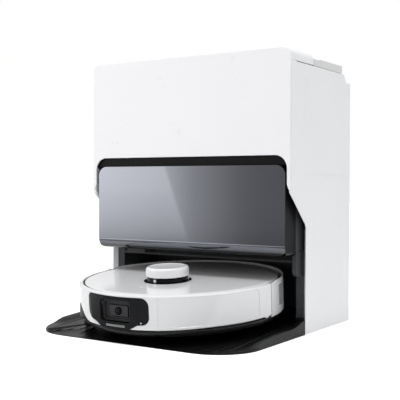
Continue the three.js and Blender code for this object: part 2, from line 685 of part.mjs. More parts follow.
function cameraWindow() {
  const { from, to, bottom, top, inner, outer } = WINDOW;
  const { x, halfWidth, bottom: low, top: high } = CAMERA;
  const glass = ringSector(inner, outer, from, to, bottom, top, 24);
  return cut(glass, box(x - halfWidth - 1, x + halfWidth + 1, -185, -150, low - 1, high + 2));
}

function cameraModule() {
  const { x, z, halfWidth, bottom, top, front, rear } = CAMERA;
  const housing = alongY(roundedRect(x - halfWidth, bottom, x + halfWidth, top, 4), front, rear);
  const lens = cylinderY(x, z, 9, front - 3.6, front + 1, 24);
  const eye = cylinderY(x, z, 5, front - 4, front - 2, 16);
  return cut(union(housing, lens), eye);
}

function ledBar() {
  return ringSector(WINDOW.outer + GAP, WINDOW.outer + 1.4, LED.from, LED.to, LED.bottom, LED.top, 6);
}

// ---- robot: turret --------------------------------------------------------------------------------

// Inner deck under the top cover, with the turret's base and the posts that carry its cap.
function turretDeck() {
  const { y, radius, bandBottom, top } = TURRET;
  const disc = (r) => turned([[0, DECK.bottom], [r, DECK.bottom], [r, DECK.top], [0, DECK.top]]);
  const front = disc(DECK.radius);
  const rear = disc(DECK.rearRadius).intersect(halfSpace(BUMPER.shellFront, 200));
  const base = turned([
    [0, DECK.top - 1], [radius + 1.1, DECK.top - 1], [radius + 1.1, bandBottom - 2],
    [radius - 0.5, bandBottom], [0, bandBottom],
  ], 0, y);
  const ring = 30.5;
  const posts = [45, 135, 225, 315].map((degrees) => {
    const [dx, dy] = bearing(degrees, ring);
    return post(dx, y + dy, 1.8, bandBottom - 1, top - 5.5, 8);
  });
  return union(front, rear, base, ...posts);
}

function lidarRotor() {
  const { y, bandBottom, top } = TURRET;
  const [low, high] = [bandBottom + 0.4, top - 8.5];
  const drum = turned([[0, low], [26, low], [26, high], [0, high]], 0, y, 32);
  return cut(drum, box(-9, 9, y - 30, y - 20, low + 2, high - 2));
}

function turretCap() {
  const { y, radius, bandTop, top } = TURRET;
  const inner = radius - 3.5;
  return turned([
    [inner, bandTop], [radius, bandTop], [radius, top - 4], [radius - 3.4, top - 0.6], [radius - 6, top],
    [0, top], [0, top - 3], [inner, top - 3],
  ], 0, y);
}

// ---- robot: running gear --------------------------------------------------------------------------

function suspensionArm(side) {
  const { x, width, radius, pivotY, pivotZ } = WHEEL;
  const outer = x - width / 2 - 2.5;
  const link = new THREE.Shape();
  const angle = Math.atan2(radius - pivotZ, -pivotY);
  link.absarc(0, radius, 9, angle - Math.PI / 2, angle + Math.PI / 2, false);
  link.absarc(pivotY, pivotZ, 7, angle + Math.PI / 2, angle + Math.PI * 1.5, false);
  const axle = cylinderX(0, radius, 4.5, outer - 1, x + 9, 16);
  const piece = union(alongX(link, outer - 5.5, outer), axle);
  return side > 0 ? piece : piece.mirror([1, 0, 0]);
}

function wheelHub(side) {
  const centre = side * WHEEL.x;
  const disc = cylinderX(0, WHEEL.radius, 20, centre - 9, centre + 9, 32);
  return cut(disc, cylinderX(0, WHEEL.radius, 5, centre - 20, centre + 20, 16));
}

function wheelTyre(side) {
  const { x, radius, width } = WHEEL;
  const teeth = 24;
  const points = Array.from({ length: teeth * 4 }, (_, i) => {
    const r = i % 4 < 2 ? radius : radius - 2;
    const a = (i / (teeth * 4)) * Math.PI * 2;
    return [r * Math.cos(a), radius + r * Math.sin(a)];
  });
  const centre = side * x;
  const ring = alongX(outline(points), centre - width / 2, centre + width / 2);
  return cut(ring, cylinderX(0, radius, 20.4, centre - width, centre + width, 32));
}

function casterFork() {
  const { y, trail, radius } = CASTER;
  const cap = post(0, y, 17, 30, 33, 24);
  const stem = post(0, y, 6, 32, 44);
  const side = roundedRect(y + trail - 6, radius - 5, y + trail + 6, 31, [4, 4, 0, 0]);
  const cheeks = [[8.2, 10.7], [-10.7, -8.2]].map(([x0, x1]) => alongX(side, x0, x1));
  const axle = cylinderX(y + trail, radius, 1.8, -9, 9, 12);
  return union(cap, stem, ...cheeks, axle);
}

function casterWheel() {
  const { y, trail, radius, width } = CASTER;
  const disc = cylinderX(y + trail, radius, radius, -width / 2, width / 2, 32);
  return cut(disc, cylinderX(y + trail, radius, 2.2, -20, 20, 12));
}

// ---- robot: sweeping and mopping ------------------------------------------------------------------

function brushHousing() {
  const { x, y0, y1, top, wall } = HOUSING;
  const outer = box(-x, x, y0, y1, PAN.bottom, top);
  const room = box(wall - x, x - wall, y0 + wall, y1 - wall, 0, top - wall);
  const outlet = box(-60, 60, y1 - 23, y1 + 17, 12, 36);
  return cut(outer, room, outlet);
}

// Removable frame that holds the rollers in, with one window for each.
function brushGuard() {
  const { x, y0, y1 } = HOUSING;
  const frame = box(-x, x, y0, y1, 5.2, PAN.bottom - GAP);
  const bar = (ROLLER.front + ROLLER.rear) / 2;
  const window = (from, to) => box(3.5 - x, x - 3.5, from, to, 0, 20);
  return cut(frame, window(y0 + 1.4, bar - 1), window(bar + 1, y1 - 1.4));
}

// Rubber roller with blunt fins.
function roller(y, phase) {
  const { z, radius, halfLength, fins, finDepth } = ROLLER;
  const points = Array.from({ length: fins * 4 }, (_, i) => {
    const step = (Math.PI * 2) / fins;
    const turn = [0, 0.14, 0.3, 0.84][i % 4];
    const r = i % 4 < 2 ? radius : radius - finDepth;
    const a = Math.floor(i / 4) * step + turn * step + phase;
    return [y + r * Math.cos(a), z + r * Math.sin(a)];
  });
  return alongX(outline(points), -halfLength, halfLength);
}

function sideBrushArm() {
  const { hubX, hubY, pivotX, pivotY } = arm();
  const { armBottom, armTop } = SIDE_BRUSH;
  const motorTop = armBottom + 0.4;
  const motor = turned(
    [[0, 15], [13, 15], [17, 19], [17, motorTop - 3.4], [13.5, motorTop], [0, motorTop]], hubX, hubY, 28);
  const link = capsule(pivotX, pivotY, hubX, hubY, 8, armBottom, armTop);
  return union(motor, link, post(pivotX, pivotY, 9, armBottom - 6, armTop + 4));
}

function sideBrush() {
  const { hubX, hubY } = arm();
  const tuft = (degrees) => {
    const a = THREE.MathUtils.degToRad(degrees);
    const [c, s] = [Math.cos(a), Math.sin(a)];
    const at = (u, v) => [hubX + u * c - v * s, hubY + u * s + v * c];
    const { reach } = SIDE_BRUSH;
    const plan = [at(0, -5), at(34, -3), at(reach, -2), at(reach, 2), at(34, 3), at(0, 5)];
    return alongZ(outline(plan), 1.4, 4.3);
  };
  const heading = 229;
  const hub = turned([[0, 1.6], [9, 1.6], [11, 4], [11, 11], [7, 14.4], [0, 14.4]], hubX, hubY, 20);
  return union(hub, tuft(heading), tuft(heading + 180));
}

// ---- robot: inside --------------------------------------------------------------------------------

// Open-topped dustbin behind the brushes.
function dustbin() {
  const { x, y0, y1, z0, z1 } = BIN;
  const wall = 2.2;
  return cut(box(-x, x, y0, y1, z0, z1), box(wall - x, x - wall, y0 + wall, y1 - wall, z0 + wall, z1 + 7));
}

// Pleated filter behind the dustbin.
function dustFilter() {
  const pleats = 20;
  const half = BIN.x - 12;
  const front = BIN.y1 + 0.6;
  const step = (2 * half) / pleats;
  const fold = (i) => [i * step - half, i % 2 ? front + 1.6 : front];
  const folds = Array.from({ length: pleats + 1 }, (_, i) => fold(i));
  return alongZ(outline([...folds, [half, front + 6.9], [-half, front + 6.9]]), BIN.z0 + 3, BIN.z1 - 3);
}

function blower() {
  const y = 84;
  const drum = turned([[0, 27], [27, 27], [27, 48], [18, 56], [0, 56]], 0, y, 32);
  const scroll = box(-44, -10, y - 25, y - 5, 30, 46);
  return union(drum, scroll);
}

function battery() {
  return alongZ(roundedRect(-64, 114, 64, 150, 8), 27, 52);
}

function mainboard() {
  const face = 39.6;
  const board = box(36, 94, 62, 108, face - 1.6, face);
  const chips = [box(44, 60, 70, 86, face - 0.2, face + 3.4), box(68, 88, 78, 98, face - 0.2, face + 2.4)];
  return union(board, ...chips);
}

// ---- assembly -------------------------------------------------------------------------------------

const vacuum = new THREE.Group();
const dock = new THREE.Group();
const robot = new THREE.Group();
robot.position.set(0, ROBOT.y, ROBOT.z);
robot.rotation.x = TILT;
vacuum.add(dock, robot);

add(dock, 'dock_shell', dockShell(), 'stationWhite');
add(dock, 'front_panel', frontPanel(), 'stationWhite');
add(dock, 'top_deck', topDeck(), 'stationWhite');
add(dock, 'rear_cover', rearCover(), 'stationWhite');
add(dock, 'bay_surround', baySurround(), 'linerBlack');
add(dock, 'bay_liner', bayLiner(), 'linerBlack');
add(dock, 'dust_cover', dustCover(), 'mirrorCover');
add(dock, 'dust_compartment', dustCompartment(), 'linerBlack');
add(dock, 'dust_bag', dustBag(), 'bagCloth');
add(dock, 'detergent_bottle', detergentBottle(), 'bottleBlue');
add(dock, 'suction_motor', suctionMotor(), 'fanGrey');
add(dock, 'dust_duct', dustDuct(), 'linerBlack');
for (const [name, side] of [['clean', 1], ['dirty', -1]]) {
  const place = (solid) => (side > 0 ? solid : solid.mirror([1, 0, 0]));
  add(dock, `${name}_water_tank`, place(tankBody()), 'stationGrey');
  add(dock, `${name}_tank_lid`, place(tankLid()), 'stationGrey');
  add(dock, `${name}_tank_handle`, place(tankHandle()), 'stationGrey');
}
add(dock, 'water_pump', waterPump(), 'fanGrey');
add(dock, 'drying_fan', dryingFan(), 'fanGrey');
add(dock, 'power_board', powerBoard(), 'boardGreen');
add(dock, 'mains_inlet', mainsInlet(), 'linerBlack');
add(dock, 'charge_contact_right', chargeContact(1), 'metal');
add(dock, 'charge_contact_left', chargeContact(-1), 'metal');
add(dock, 'base_plate', basePlate(), 'baseBlack');
add(dock, 'wash_tray', washTray(), 'baseBlack');
add(dock, 'scrub_carriage', scrubCarriage(), 'fanGrey');
add(dock, 'scrub_brush', scrubBrush(), 'tyreBlack');

add(robot, 'robot_chassis', robotChassis(), 'robotDark');
add(robot, 'body_shell', bodyShell(), 'robotWhite');
add(robot, 'top_cover', topCover(), 'robotWhite');
add(robot, 'power_button', powerButton(), 'robotWhite');
add(robot, 'bumper', bumper(), 'robotWhite');
add(robot, 'camera_window', cameraWindow(), 'glassBlack');
add(robot, 'camera_module', cameraModule(), 'robotDark');
add(robot, 'led_bar', ledBar(), 'ledGrey');
add(robot, 'turret_deck', turretDeck(), 'robotDark');
add(robot, 'lidar_rotor', lidarRotor(), 'robotDark');
add(robot, 'turret_cap', turretCap(), 'robotWhite');
for (const [name, side] of [['right', 1], ['left', -1]]) {
  add(robot, `suspension_arm_${name}`, suspensionArm(side), 'robotDark');
  add(robot, `wheel_hub_${name}`, wheelHub(side), 'robotDark');
  add(robot, `wheel_tyre_${name}`, wheelTyre(side), 'tyreBlack');
}
add(robot, 'caster_fork', casterFork(), 'robotDark');
add(robot, 'caster_wheel', casterWheel(), 'tyreBlack');
add(robot, 'brush_housing', brushHousing(), 'robotDark');
add(robot, 'brush_guard', brushGuard(), 'robotDark');
add(robot, 'front_roller', roller(ROLLER.front, 0), 'tyreBlack');
add(robot, 'rear_roller', roller(ROLLER.rear, Math.PI / 6), 'tyreBlack');
add(robot, 'side_brush_arm', sideBrushArm(), 'robotDark');
add(robot, 'side_brush', sideBrush(), 'tyreBlack');
add(robot, 'mop_plate', alongZ(mopOutline(0), 5, 13), 'robotDark');
add(robot, 'mop_cloth', alongZ(mopOutline(2), 0.8, 4.7), 'mopCloth');
add(robot, 'dustbin', dustbin(), 'fanGrey');
add(robot, 'dust_filter', dustFilter(), 'bagCloth');
add(robot, 'blower', blower(), 'fanGrey');
add(robot, 'battery', battery(), 'linerBlack');
add(robot, 'mainboard', mainboard(), 'boardGreen');

export default vacuum;
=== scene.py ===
"""Looks of a robot vacuum parked in its washing and emptying station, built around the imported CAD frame.

Lengths in this script are in millimetres until mesh_object() turns them into metres. The station uses the row
frame: origin on the floor, +Z up, front towards -Y. The robot's pieces are written in the robot's own frame,
whose origin lies on its ground plane with the nose towards -Y, and are tilted into place with the ramp.
"""

import json
import math

import bmesh
import bpy
from mathutils import Matrix, Vector

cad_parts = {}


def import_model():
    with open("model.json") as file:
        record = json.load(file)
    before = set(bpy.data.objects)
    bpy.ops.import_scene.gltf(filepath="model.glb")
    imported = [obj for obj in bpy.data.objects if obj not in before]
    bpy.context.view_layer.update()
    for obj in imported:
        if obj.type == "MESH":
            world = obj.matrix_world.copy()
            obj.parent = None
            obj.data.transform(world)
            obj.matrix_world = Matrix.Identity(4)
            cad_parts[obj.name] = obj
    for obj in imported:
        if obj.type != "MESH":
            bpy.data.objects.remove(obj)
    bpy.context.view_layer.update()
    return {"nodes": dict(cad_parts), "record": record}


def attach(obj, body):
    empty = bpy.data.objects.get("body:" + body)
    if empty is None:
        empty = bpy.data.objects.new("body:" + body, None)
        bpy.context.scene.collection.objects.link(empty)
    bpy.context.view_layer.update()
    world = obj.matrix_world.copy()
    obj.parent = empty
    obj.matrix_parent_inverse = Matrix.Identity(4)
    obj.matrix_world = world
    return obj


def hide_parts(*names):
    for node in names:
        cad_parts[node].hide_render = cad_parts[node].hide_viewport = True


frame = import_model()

scene = bpy.context.scene

# ---- driving sizes ----

MM = 0.001

HALF = 204.5  # half the station's width
TOP = 470
FRONT = -37.5  # plane of the white upper front
REAR = 209.5
WALL = 3
LEG_FRONT = 20  # front edge of the side walls beside the bay
RAMP_FRONT = -209.5
DECK_SPLIT = 448  # top edge of the side walls
COVER_HALF = 194.25
COVER_BOTTOM = 131.6  # a little under the CAD solid
COVER_TOP = 281
COVER_ROLL = 18  # radius of the lower edge, rolled back
BAY_HALF = 188.8
BAY_FRONT, BAY_REAR = 28, 142
BAY_CEILING = 118

TILT = math.radians(3.86)
ROBOT_ORIGIN = Vector((0, -39.5, 12.7))
ROBOT_PLACE = Matrix.Translation(ROBOT_ORIGIN) @ Matrix.Rotation(TILT, 4, "X")
RADIUS = 175
RIM = 78
TURRET_Y = -41
AMBIENT = 0.7  # brightness of the white surroundings as a light
HUB_BEARING, HUB_RADIUS = -50, 159
PIVOT_BEARING, PIVOT_RADIUS = -28, 135


def ramp_height(y):
    """Height of the ramp's running surface at a given y."""
    return ROBOT_ORIGIN.z - 0.4 + (y - ROBOT_ORIGIN.y) * math.tan(TILT)


def bearing(degrees, radius):
    """Point at a bearing from the robot's nose, positive towards +X."""
    a = math.radians(degrees)
    return radius * math.sin(a), -radius * math.cos(a)


def smooth_step(t):
    t = min(max(t, 0), 1)
    return t * t * (3 - 2 * t)


def spread(start, end, count):
    """count + 1 evenly spaced values from start to end."""
    return [start + (end - start) * i / count for i in range(count + 1)]


# ---- materials ----


MATERIALS = {}


def put(node, **values):
    """Set a node's own inputs by name, with underscores for spaces."""
    for key, value in values.items():
        node.inputs[key.replace("_", " ")].default_value = value


class Nodes:
    """A new entry of MATERIALS, with short calls for the nodes this script uses."""

    def __init__(self, name):
        self.material = MATERIALS[name] = bpy.data.materials.new(name)
        self.material.use_nodes = True
        self.tree = self.material.node_tree
        self.shader = self.tree.nodes["Principled BSDF"]
        self.place = self.node("ShaderNodeTexCoord").outputs["Object"]

    def node(self, kind, **values):
        made = self.tree.nodes.new(kind)
        for key, value in values.items():
            setattr(made, key, value)
        return made

    def link(self, source, target):
        self.tree.links.new(source, target)

    def feed(self, name, source):
        self.link(source, self.shader.inputs[name])

    def noise(self, scale, detail=3, roughness=0.5, stretch=None):
        """Noise of a given scale per metre; stretch scales the coordinates first."""
        made = self.node("ShaderNodeTexNoise")
        put(made, Scale=scale, Detail=detail, Roughness=roughness)
        source = self.place
        if stretch:
            mapping = self.node("ShaderNodeMapping")
            put(mapping, Scale=stretch)
            self.link(self.place, mapping.inputs["Vector"])
            source = mapping.outputs["Vector"]
        self.link(source, made.inputs["Vector"])
        return made.outputs["Fac"]

    def ramp(self, source, low, high, start=0.3, end=0.7):
        """Map a 0 to 1 factor between two colours, or two numbers, over a stretch of the factor."""
        return self.grades(source, [(start, low), (end, high)])

    def stretch_of(self, source, low, high):
        """Where a value stands between two limits, from 0 to 1."""
        made = self.node("ShaderNodeMapRange")
        put(made, From_Min=low, From_Max=high)
        self.link(source, made.inputs["Value"])
        return made.outputs["Result"]

    def grades(self, source, stops):
        """Map a 0 to 1 factor through (position, colour or brightness) stops."""
        made = self.node("ShaderNodeValToRGB")
        elements = made.color_ramp.elements
        while len(elements) < len(stops):
            elements.new(0.5)
        for element, (at, value) in zip(elements, stops):
            element.position = at
            element.color = (*value, 1) if isinstance(value, tuple) else (value, value, value, 1)
        self.link(source, made.inputs["Fac"])
        return made.outputs["Color"]

    def axes(self):
        """The object coordinates, split."""
        made = self.node("ShaderNodeSeparateXYZ")
        self.link(self.place, made.inputs["Vector"])
        return made.outputs

    def bump(self, source, strength, distance):
        made = self.node("ShaderNodeBump")
        put(made, Strength=strength, Distance=distance)
        self.link(source, made.inputs["Height"])
        self.link(made.outputs["Normal"], self.shader.inputs["Normal"])

    def set(self, **values):
        put(self.shader, **values)


def shade(color, factor):
    return tuple(min(channel * factor, 1) for channel in color)


def plastic(name, color, rough, variation=0.03, grain=900, grain_depth=2e-5, coat=0, coat_rough=0.05,
            uneven=0.05, shine=0.5):
    """Moulded plastic: a faint cloudiness in colour, uneven gloss and a fine moulded grain."""
    nodes = Nodes(name)
    cloud = nodes.noise(9, 4)
    nodes.feed("Base Color", nodes.ramp(cloud, shade(color, 1 - variation), shade(color, 1 + variation)))
    wear = nodes.noise(35, 5, 0.6)
    nodes.feed("Roughness", nodes.ramp(wear, max(rough - uneven, 0.02), rough + uneven))
    nodes.bump(nodes.noise(grain, 2), 0.25, grain_depth)
    nodes.set(Coat_Weight=coat, Coat_Roughness=coat_rough, Specular_IOR_Level=shine)


def metal(name, color, rough):
    nodes = Nodes(name)
    brush = nodes.noise(420, 3, 0.6, stretch=(1, 1, 0.06))
    nodes.feed("Base Color", nodes.ramp(brush, shade(color, 0.88), color))
    nodes.feed("Roughness", nodes.ramp(brush, rough * 0.7, rough * 1.3))
    nodes.bump(brush, 0.1, 2e-5)
    nodes.set(Metallic=1)


def rubber(name, color, rough=0.7):
    nodes = Nodes(name)
    dust = nodes.noise(60, 6, 0.65)
    nodes.feed("Base Color", nodes.ramp(dust, color, shade(color, 1.6), 0.45, 0.8))
    nodes.feed("Roughness", nodes.ramp(dust, rough - 0.08, rough + 0.1))
    nodes.bump(nodes.noise(1500, 3), 0.35, 4e-5)
    nodes.set(Specular_IOR_Level=0.35)


def fibre(name, color, scale=1100, depth=0.0005, sheen=0.4):
    """Short pile or non-woven fibre."""
    nodes = Nodes(name)
    tufts = nodes.noise(scale, 6, 0.75)
    nodes.feed("Base Color", nodes.ramp(tufts, shade(color, 0.62), shade(color, 1.25)))
    nodes.bump(tufts, 0.9, depth)
    nodes.set(Roughness=0.95, Sheen_Weight=sheen, Sheen_Roughness=0.5, Specular_IOR_Level=0.15)


def mirror_glaze(name):
    """Tinted metallic glaze under a clear coat; its colour darkens over the cover's rolled lower edge as
    painted shade.
    """
    nodes = Nodes(name)
    tint = nodes.ramp(nodes.noise(4, 2), (0.545, 0.56, 0.63), (0.565, 0.58, 0.65))
    # Painted shade: the base colour is darkened step by step down the rolled lower edge, standing for the
    # dark reflection and shade there.
    up_the_roll = nodes.stretch_of(nodes.axes()["Z"], COVER_BOTTOM * MM, (COVER_BOTTOM + COVER_ROLL) * MM)
    levels = [(0, 0.01), (0.1, 0.03), (0.2, 0.07), (0.3, 0.13), (0.4, 0.2), (0.5, 0.27), (0.86, 0.36),
              (0.93, 0.8), (1, 1)]
    painted_roll_shade = nodes.grades(up_the_roll, levels)
    glaze = nodes.node("ShaderNodeMix", data_type="RGBA", blend_type="MULTIPLY")
    put(glaze, Factor=1)
    nodes.link(tint, glaze.inputs["A"])
    nodes.link(painted_roll_shade, glaze.inputs["B"])
    nodes.feed("Base Color", glaze.outputs["Result"])
    nodes.feed("Roughness", nodes.ramp(nodes.noise(30, 4), 0.03, 0.055))
    nodes.bump(nodes.noise(5, 1), 0.02, 0.0001)
    nodes.set(Metallic=1, Coat_Weight=0.1, Coat_Roughness=0.03)


def board(name):
    """Printed circuit board: solder mask with faint copper tracks under it."""
    nodes = Nodes(name)
    tracks = nodes.node("ShaderNodeTexBrick")
    put(tracks, Scale=160, Color1=(0.016, 0.11, 0.045, 1), Color2=(0.02, 0.14, 0.06, 1),
        Mortar=(0.03, 0.19, 0.08, 1))
    nodes.link(nodes.place, tracks.inputs["Vector"])
    nodes.feed("Base Color", tracks.outputs["Color"])
    nodes.bump(tracks.outputs["Fac"], 0.2, 0.0001)
    nodes.set(Roughness=0.45)


def lamp_diffuser(name):
    nodes = Nodes(name)
    frost = nodes.noise(700, 3)
    nodes.feed("Base Color", nodes.ramp(frost, (0.2, 0.2, 0.2), (0.26, 0.26, 0.26)))
    nodes.bump(frost, 0.2, 3e-5)
    nodes.set(Roughness=0.6, Subsurface_Weight=0.1, Specular_IOR_Level=0.2)


plastic("station_white", (0.9, 0.905, 0.92), 0.34, 0.008, 1400, 1e-5)
plastic("station_front", (0.93, 0.925, 0.945), 0.32, 0.006, 1400, 1e-5)
plastic("station_grey", (0.74, 0.742, 0.75), 0.38, 0.01, 1200, 1e-5)
mirror_glaze("mirror_cover")
plastic("liner_black", (0.05, 0.052, 0.055), 0.5, 0.15, 1600, 3e-5, shine=0.3)
# Near-black, matte and without shine, for the louvers in the vent slots: painted shade of the slots' insides.
plastic("vent_slot_shade_black", (0.0015, 0.0015, 0.0015), 0.9, 0, 1600, 3e-5, shine=0.02)
# A darker, less shiny copy of liner_black for the band, cheeks and strip that share the liner's slot; the
# extra darkness is painted shade.
plastic("surround_shaded_black", (0.007, 0.007, 0.0075), 0.5, 0.15, 1600, 3e-5, shine=0.2)
plastic("cover_black", (0.008, 0.0082, 0.009), 0.4, 0.1, 1400, 1e-5, shine=0.1)
plastic("base_black", (0.004, 0.004, 0.0045), 0.34, 0.18, 1500, 3e-5, shine=0.2)
plastic("tray_dark", (0.03, 0.03, 0.032), 0.35, 0.1)
plastic("tank_smoke", (0.3, 0.31, 0.33), 0.16, 0.04, coat=0.4)
fibre("bag_paper", (0.74, 0.71, 0.62), 420, 0.0003, 0.1)
plastic("bottle_blue", (0.55, 0.68, 0.78), 0.28, 0.02, coat=0.3)
plastic("fan_grey", (0.16, 0.165, 0.17), 0.45, 0.06)
board("board_green")
metal("contact_metal", (0.7, 0.66, 0.56), 0.25)
rubber("bristle_black", (0.01, 0.01, 0.01), 0.6)
# Glossier, darker copy of robot_dark for the chassis band: the gloss is its own finish, the extra darkness is
# painted shade under the bumper.
plastic("chassis_shaded_black", (0.012, 0.0122, 0.013), 0.3, 0.12, 1500, 3e-5)
plastic("robot_dark", (0.035, 0.036, 0.039), 0.45, 0.12, 1500, 5e-5)
plastic("robot_white", (0.82, 0.825, 0.835), 0.12, 0.006, 600, 4e-6, 0.5)
plastic("robot_top", (0.88, 0.883, 0.895), 0.17, 0.006, 500, 3e-6, 0.42, 0.08, 0.02)
plastic("window_black", (0.015, 0.0155, 0.0165), 0.06, 0.1, 500, 3e-6, uneven=0.02, shine=0.2)
plastic("camera_grey", (0.05, 0.05, 0.056), 0.3, 0.08)
lamp_diffuser("led_grey")
plastic("turret_dark", (0.004, 0.004, 0.0045), 0.16, 0.1, 500, 3e-6, shine=0.15)
plastic("wheel_grey", (0.1, 0.1, 0.105), 0.5, 0.1)
rubber("tyre_rubber", (0.014, 0.014, 0.014))
rubber("roller_rubber", (0.035, 0.035, 0.038), 0.6)
plastic("arm_grey", (0.08, 0.082, 0.086), 0.42, 0.3, 1800, 6e-5)
fibre("mop_fabric", (0.15, 0.16, 0.17))

# ---- meshes ----


def new_object(name, data):
    made = bpy.data.objects.new(name, data)
    scene.collection.objects.link(made)
    return made


def mesh_object(name, points, faces, robot=False):
    """A new object from points in millimetres; robot=True takes them from the robot's own frame."""
    place = ROBOT_PLACE if robot else Matrix.Identity(4)
    mesh = bpy.data.meshes.new(name)
    mesh.from_pydata([(place @ Vector(p)) * MM for p in points], [], faces)
    made = new_object(name, mesh)
    repair(made)
    return made


def repair(piece):
    """Merge doubled points and turn every face outwards."""
    work = bmesh.new()
    work.from_mesh(piece.data)
    bmesh.ops.remove_doubles(work, verts=work.verts, dist=1e-6)
    bmesh.ops.dissolve_degenerate(work, edges=work.edges, dist=1e-7)
    bmesh.ops.recalc_face_normals(work, faces=work.faces)
    work.to_mesh(piece.data)
    work.free()


def bake(piece):
    """Make the modifiers' result the piece's own mesh."""
    graph = bpy.context.evaluated_depsgraph_get()
    result = bpy.data.meshes.new_from_object(piece.evaluated_get(graph))
    piece.modifiers.clear()
    piece.data = result
    return piece


def carve(piece, *tools, operation="DIFFERENCE"):
    """Cut a piece with others, or join them to it; the others are used up."""
    for tool in tools:
        modifier = piece.modifiers.new("cut", "BOOLEAN")
        modifier.operation = operation
        modifier.solver = "EXACT"
        modifier.object = tool
        bake(piece)
        bpy.data.objects.remove(tool)
    return piece


def trim(piece, tool):
    """Keep only what a piece shares with another, which is used up."""
    return carve(piece, tool, operation="INTERSECT")


def join(name, *parts):
    """One object from several separate solids."""
    work = bmesh.new()
    for part in parts:
        work.from_mesh(part.data)
        bpy.data.objects.remove(part)
    mesh = bpy.data.meshes.new(name)
    work.to_mesh(mesh)
    work.free()
    return new_object(name, mesh)


def edge_modifier(piece, width, segments, angle):
    """Round the edges that turn by more than an angle in degrees."""
    modifier = piece.modifiers.new("edges", "BEVEL")
    modifier.width = width * MM
    modifier.segments = segments
    modifier.limit_method = "ANGLE"
    modifier.angle_limit = math.radians(angle)


def bevel(piece, width, segments=3, angle=40):
    edge_modifier(piece, width, segments, angle)
    return bake(piece)


def finish(piece, body, slot, nodes=(), sharp=32, material=None):
    """Smooth shading with sharp edges kept, a material, and the piece's place in the frame."""
    piece.data.polygons.foreach_set("use_smooth", [True] * len(piece.data.polygons))
    piece.data.set_sharp_from_angle(angle=math.radians(sharp))
    weighted = piece.modifiers.new("normals", "WEIGHTED_NORMAL")
    weighted.keep_sharp = True
    bake(piece)
    piece.data.materials.clear()
    piece.data.materials.append(MATERIALS[material or slot])
    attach(piece, body)
    if nodes:
        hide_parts(*nodes)


def arc(cx, cy, radius, start, end, steps):
    """Points of a circular arc, angles in degrees."""
    return [(cx + radius * math.cos(math.radians(a)), cy + radius * math.sin(math.radians(a)))
            for a in spread(start, end, steps)]


def rounded_rect(u0, v0, u1, v1, radii, steps=10):
    """Corner radii in the order lower left, lower right, upper right, upper left."""
    ll, lr, ur, ul = radii if isinstance(radii, (tuple, list)) else (radii,) * 4
    corners = [(u0 + ll, v0 + ll, ll, 180), (u1 - lr, v0 + lr, lr, 270), (u1 - ur, v1 - ur, ur, 0),
               (u0 + ul, v1 - ul, ul, 90)]
    points = []
    for cu, cv, r, start in corners:
        points += arc(cu, cv, r, start, start + 90, steps) if r else [(cu, cv)]
    return points


AXES = {"x": lambda u, v, w: (w, u, v), "y": lambda u, v, w: (u, w, v), "z": lambda u, v, w: (u, v, w)}


def bridge(name, first, last, robot=False):
    """The solid between two outlines with equally many points."""
    count = len(first)
    faces = [tuple(range(count)), tuple(range(2 * count - 1, count - 1, -1))]
    faces += grid_faces(2, count, close_columns=True)
    return mesh_object(name, first + last, faces, robot)


def closed_sheet(name, first, last, rows, columns):
    """The solid between two grids with the same rows and columns, closed along their borders."""
    count = rows * columns
    sheet = grid_faces(rows, columns)
    faces = sheet + [tuple(count + i for i in reversed(face)) for face in sheet]
    border = list(range(columns)) + [r * columns + columns - 1 for r in range(1, rows)]
    border += [count - 2 - c for c in range(columns - 1)] + [r * columns for r in range(rows - 2, 0, -1)]
    faces += [(a, b, count + b, count + a) for a, b in zip(border, border[1:] + border[:1])]
    return mesh_object(name, first + last, faces)


def prism(name, outline, axis, start, end, robot=False):
    """An outline pushed along an axis: (y, z) along x, (x, z) along y, (x, y) along z."""
    place = AXES[axis]
    return bridge(name, *([place(u, v, w) for u, v in outline] for w in (start, end)), robot)


def mirrored(side, near, far):
    """Two distances from the middle plane as a rising pair of x values on one side, 1 or -1."""
    return sorted((side * near, side * far))


def block(name, x0, x1, y0, y1, z0, z1):
    return prism(name, [(x0, y0), (x1, y0), (x1, y1), (x0, y1)], "z", z0, z1)


def grid_faces(rows, columns, close_rows=False, close_columns=False):
    """Quads of a grid whose points are stored row by row."""
    faces = []
    for r in range(rows if close_rows else rows - 1):
        for c in range(columns if close_columns else columns - 1):
            r2, c2 = (r + 1) % rows, (c + 1) % columns
            faces.append((r * columns + c, r * columns + c2, r2 * columns + c2, r2 * columns + c))
    return faces


def turned(name, profile, segments, x=0, y=0):
    """A closed profile of (radius, z) points turned about a vertical axis of the robot."""
    return swept(name, profile, spread(0, 360, segments)[:-1], x, y, full=True)


def swept(name, profile, angles, x=0, y=0, full=False):
    """A closed profile, or a function of the bearing that gives one, swept round the robot and capped."""
    points = []
    for a in angles:
        dx, dy = bearing(a, 1)
        section = profile(a) if callable(profile) else profile
        points += [(x + r * dx, y + r * dy, z) for r, z in section]
    count = len(points) // len(angles)
    faces = grid_faces(len(angles), count, full, True)
    if not full:
        faces += [tuple(range(count)), tuple(range(len(points) - count, len(points)))]
    return mesh_object(name, points, faces, True)


def box_section(r0, r1, z0, z1):
    return [(r0, z0), (r1, z0), (r1, z1), (r0, z1)]


def rod(name, ends, radius, sides):
    """A round bar between two points of the robot."""
    a, b = (Vector(p) for p in ends)
    turn = (b - a).to_track_quat("Z", "X").to_matrix()
    ring = [turn @ Vector((*point, 0)) for point in arc(0, 0, radius, 0, 360, sides)[:-1]]
    return bridge(name, *([end + point for point in ring] for end in (a, b)), True)


# ---- station: casing ----

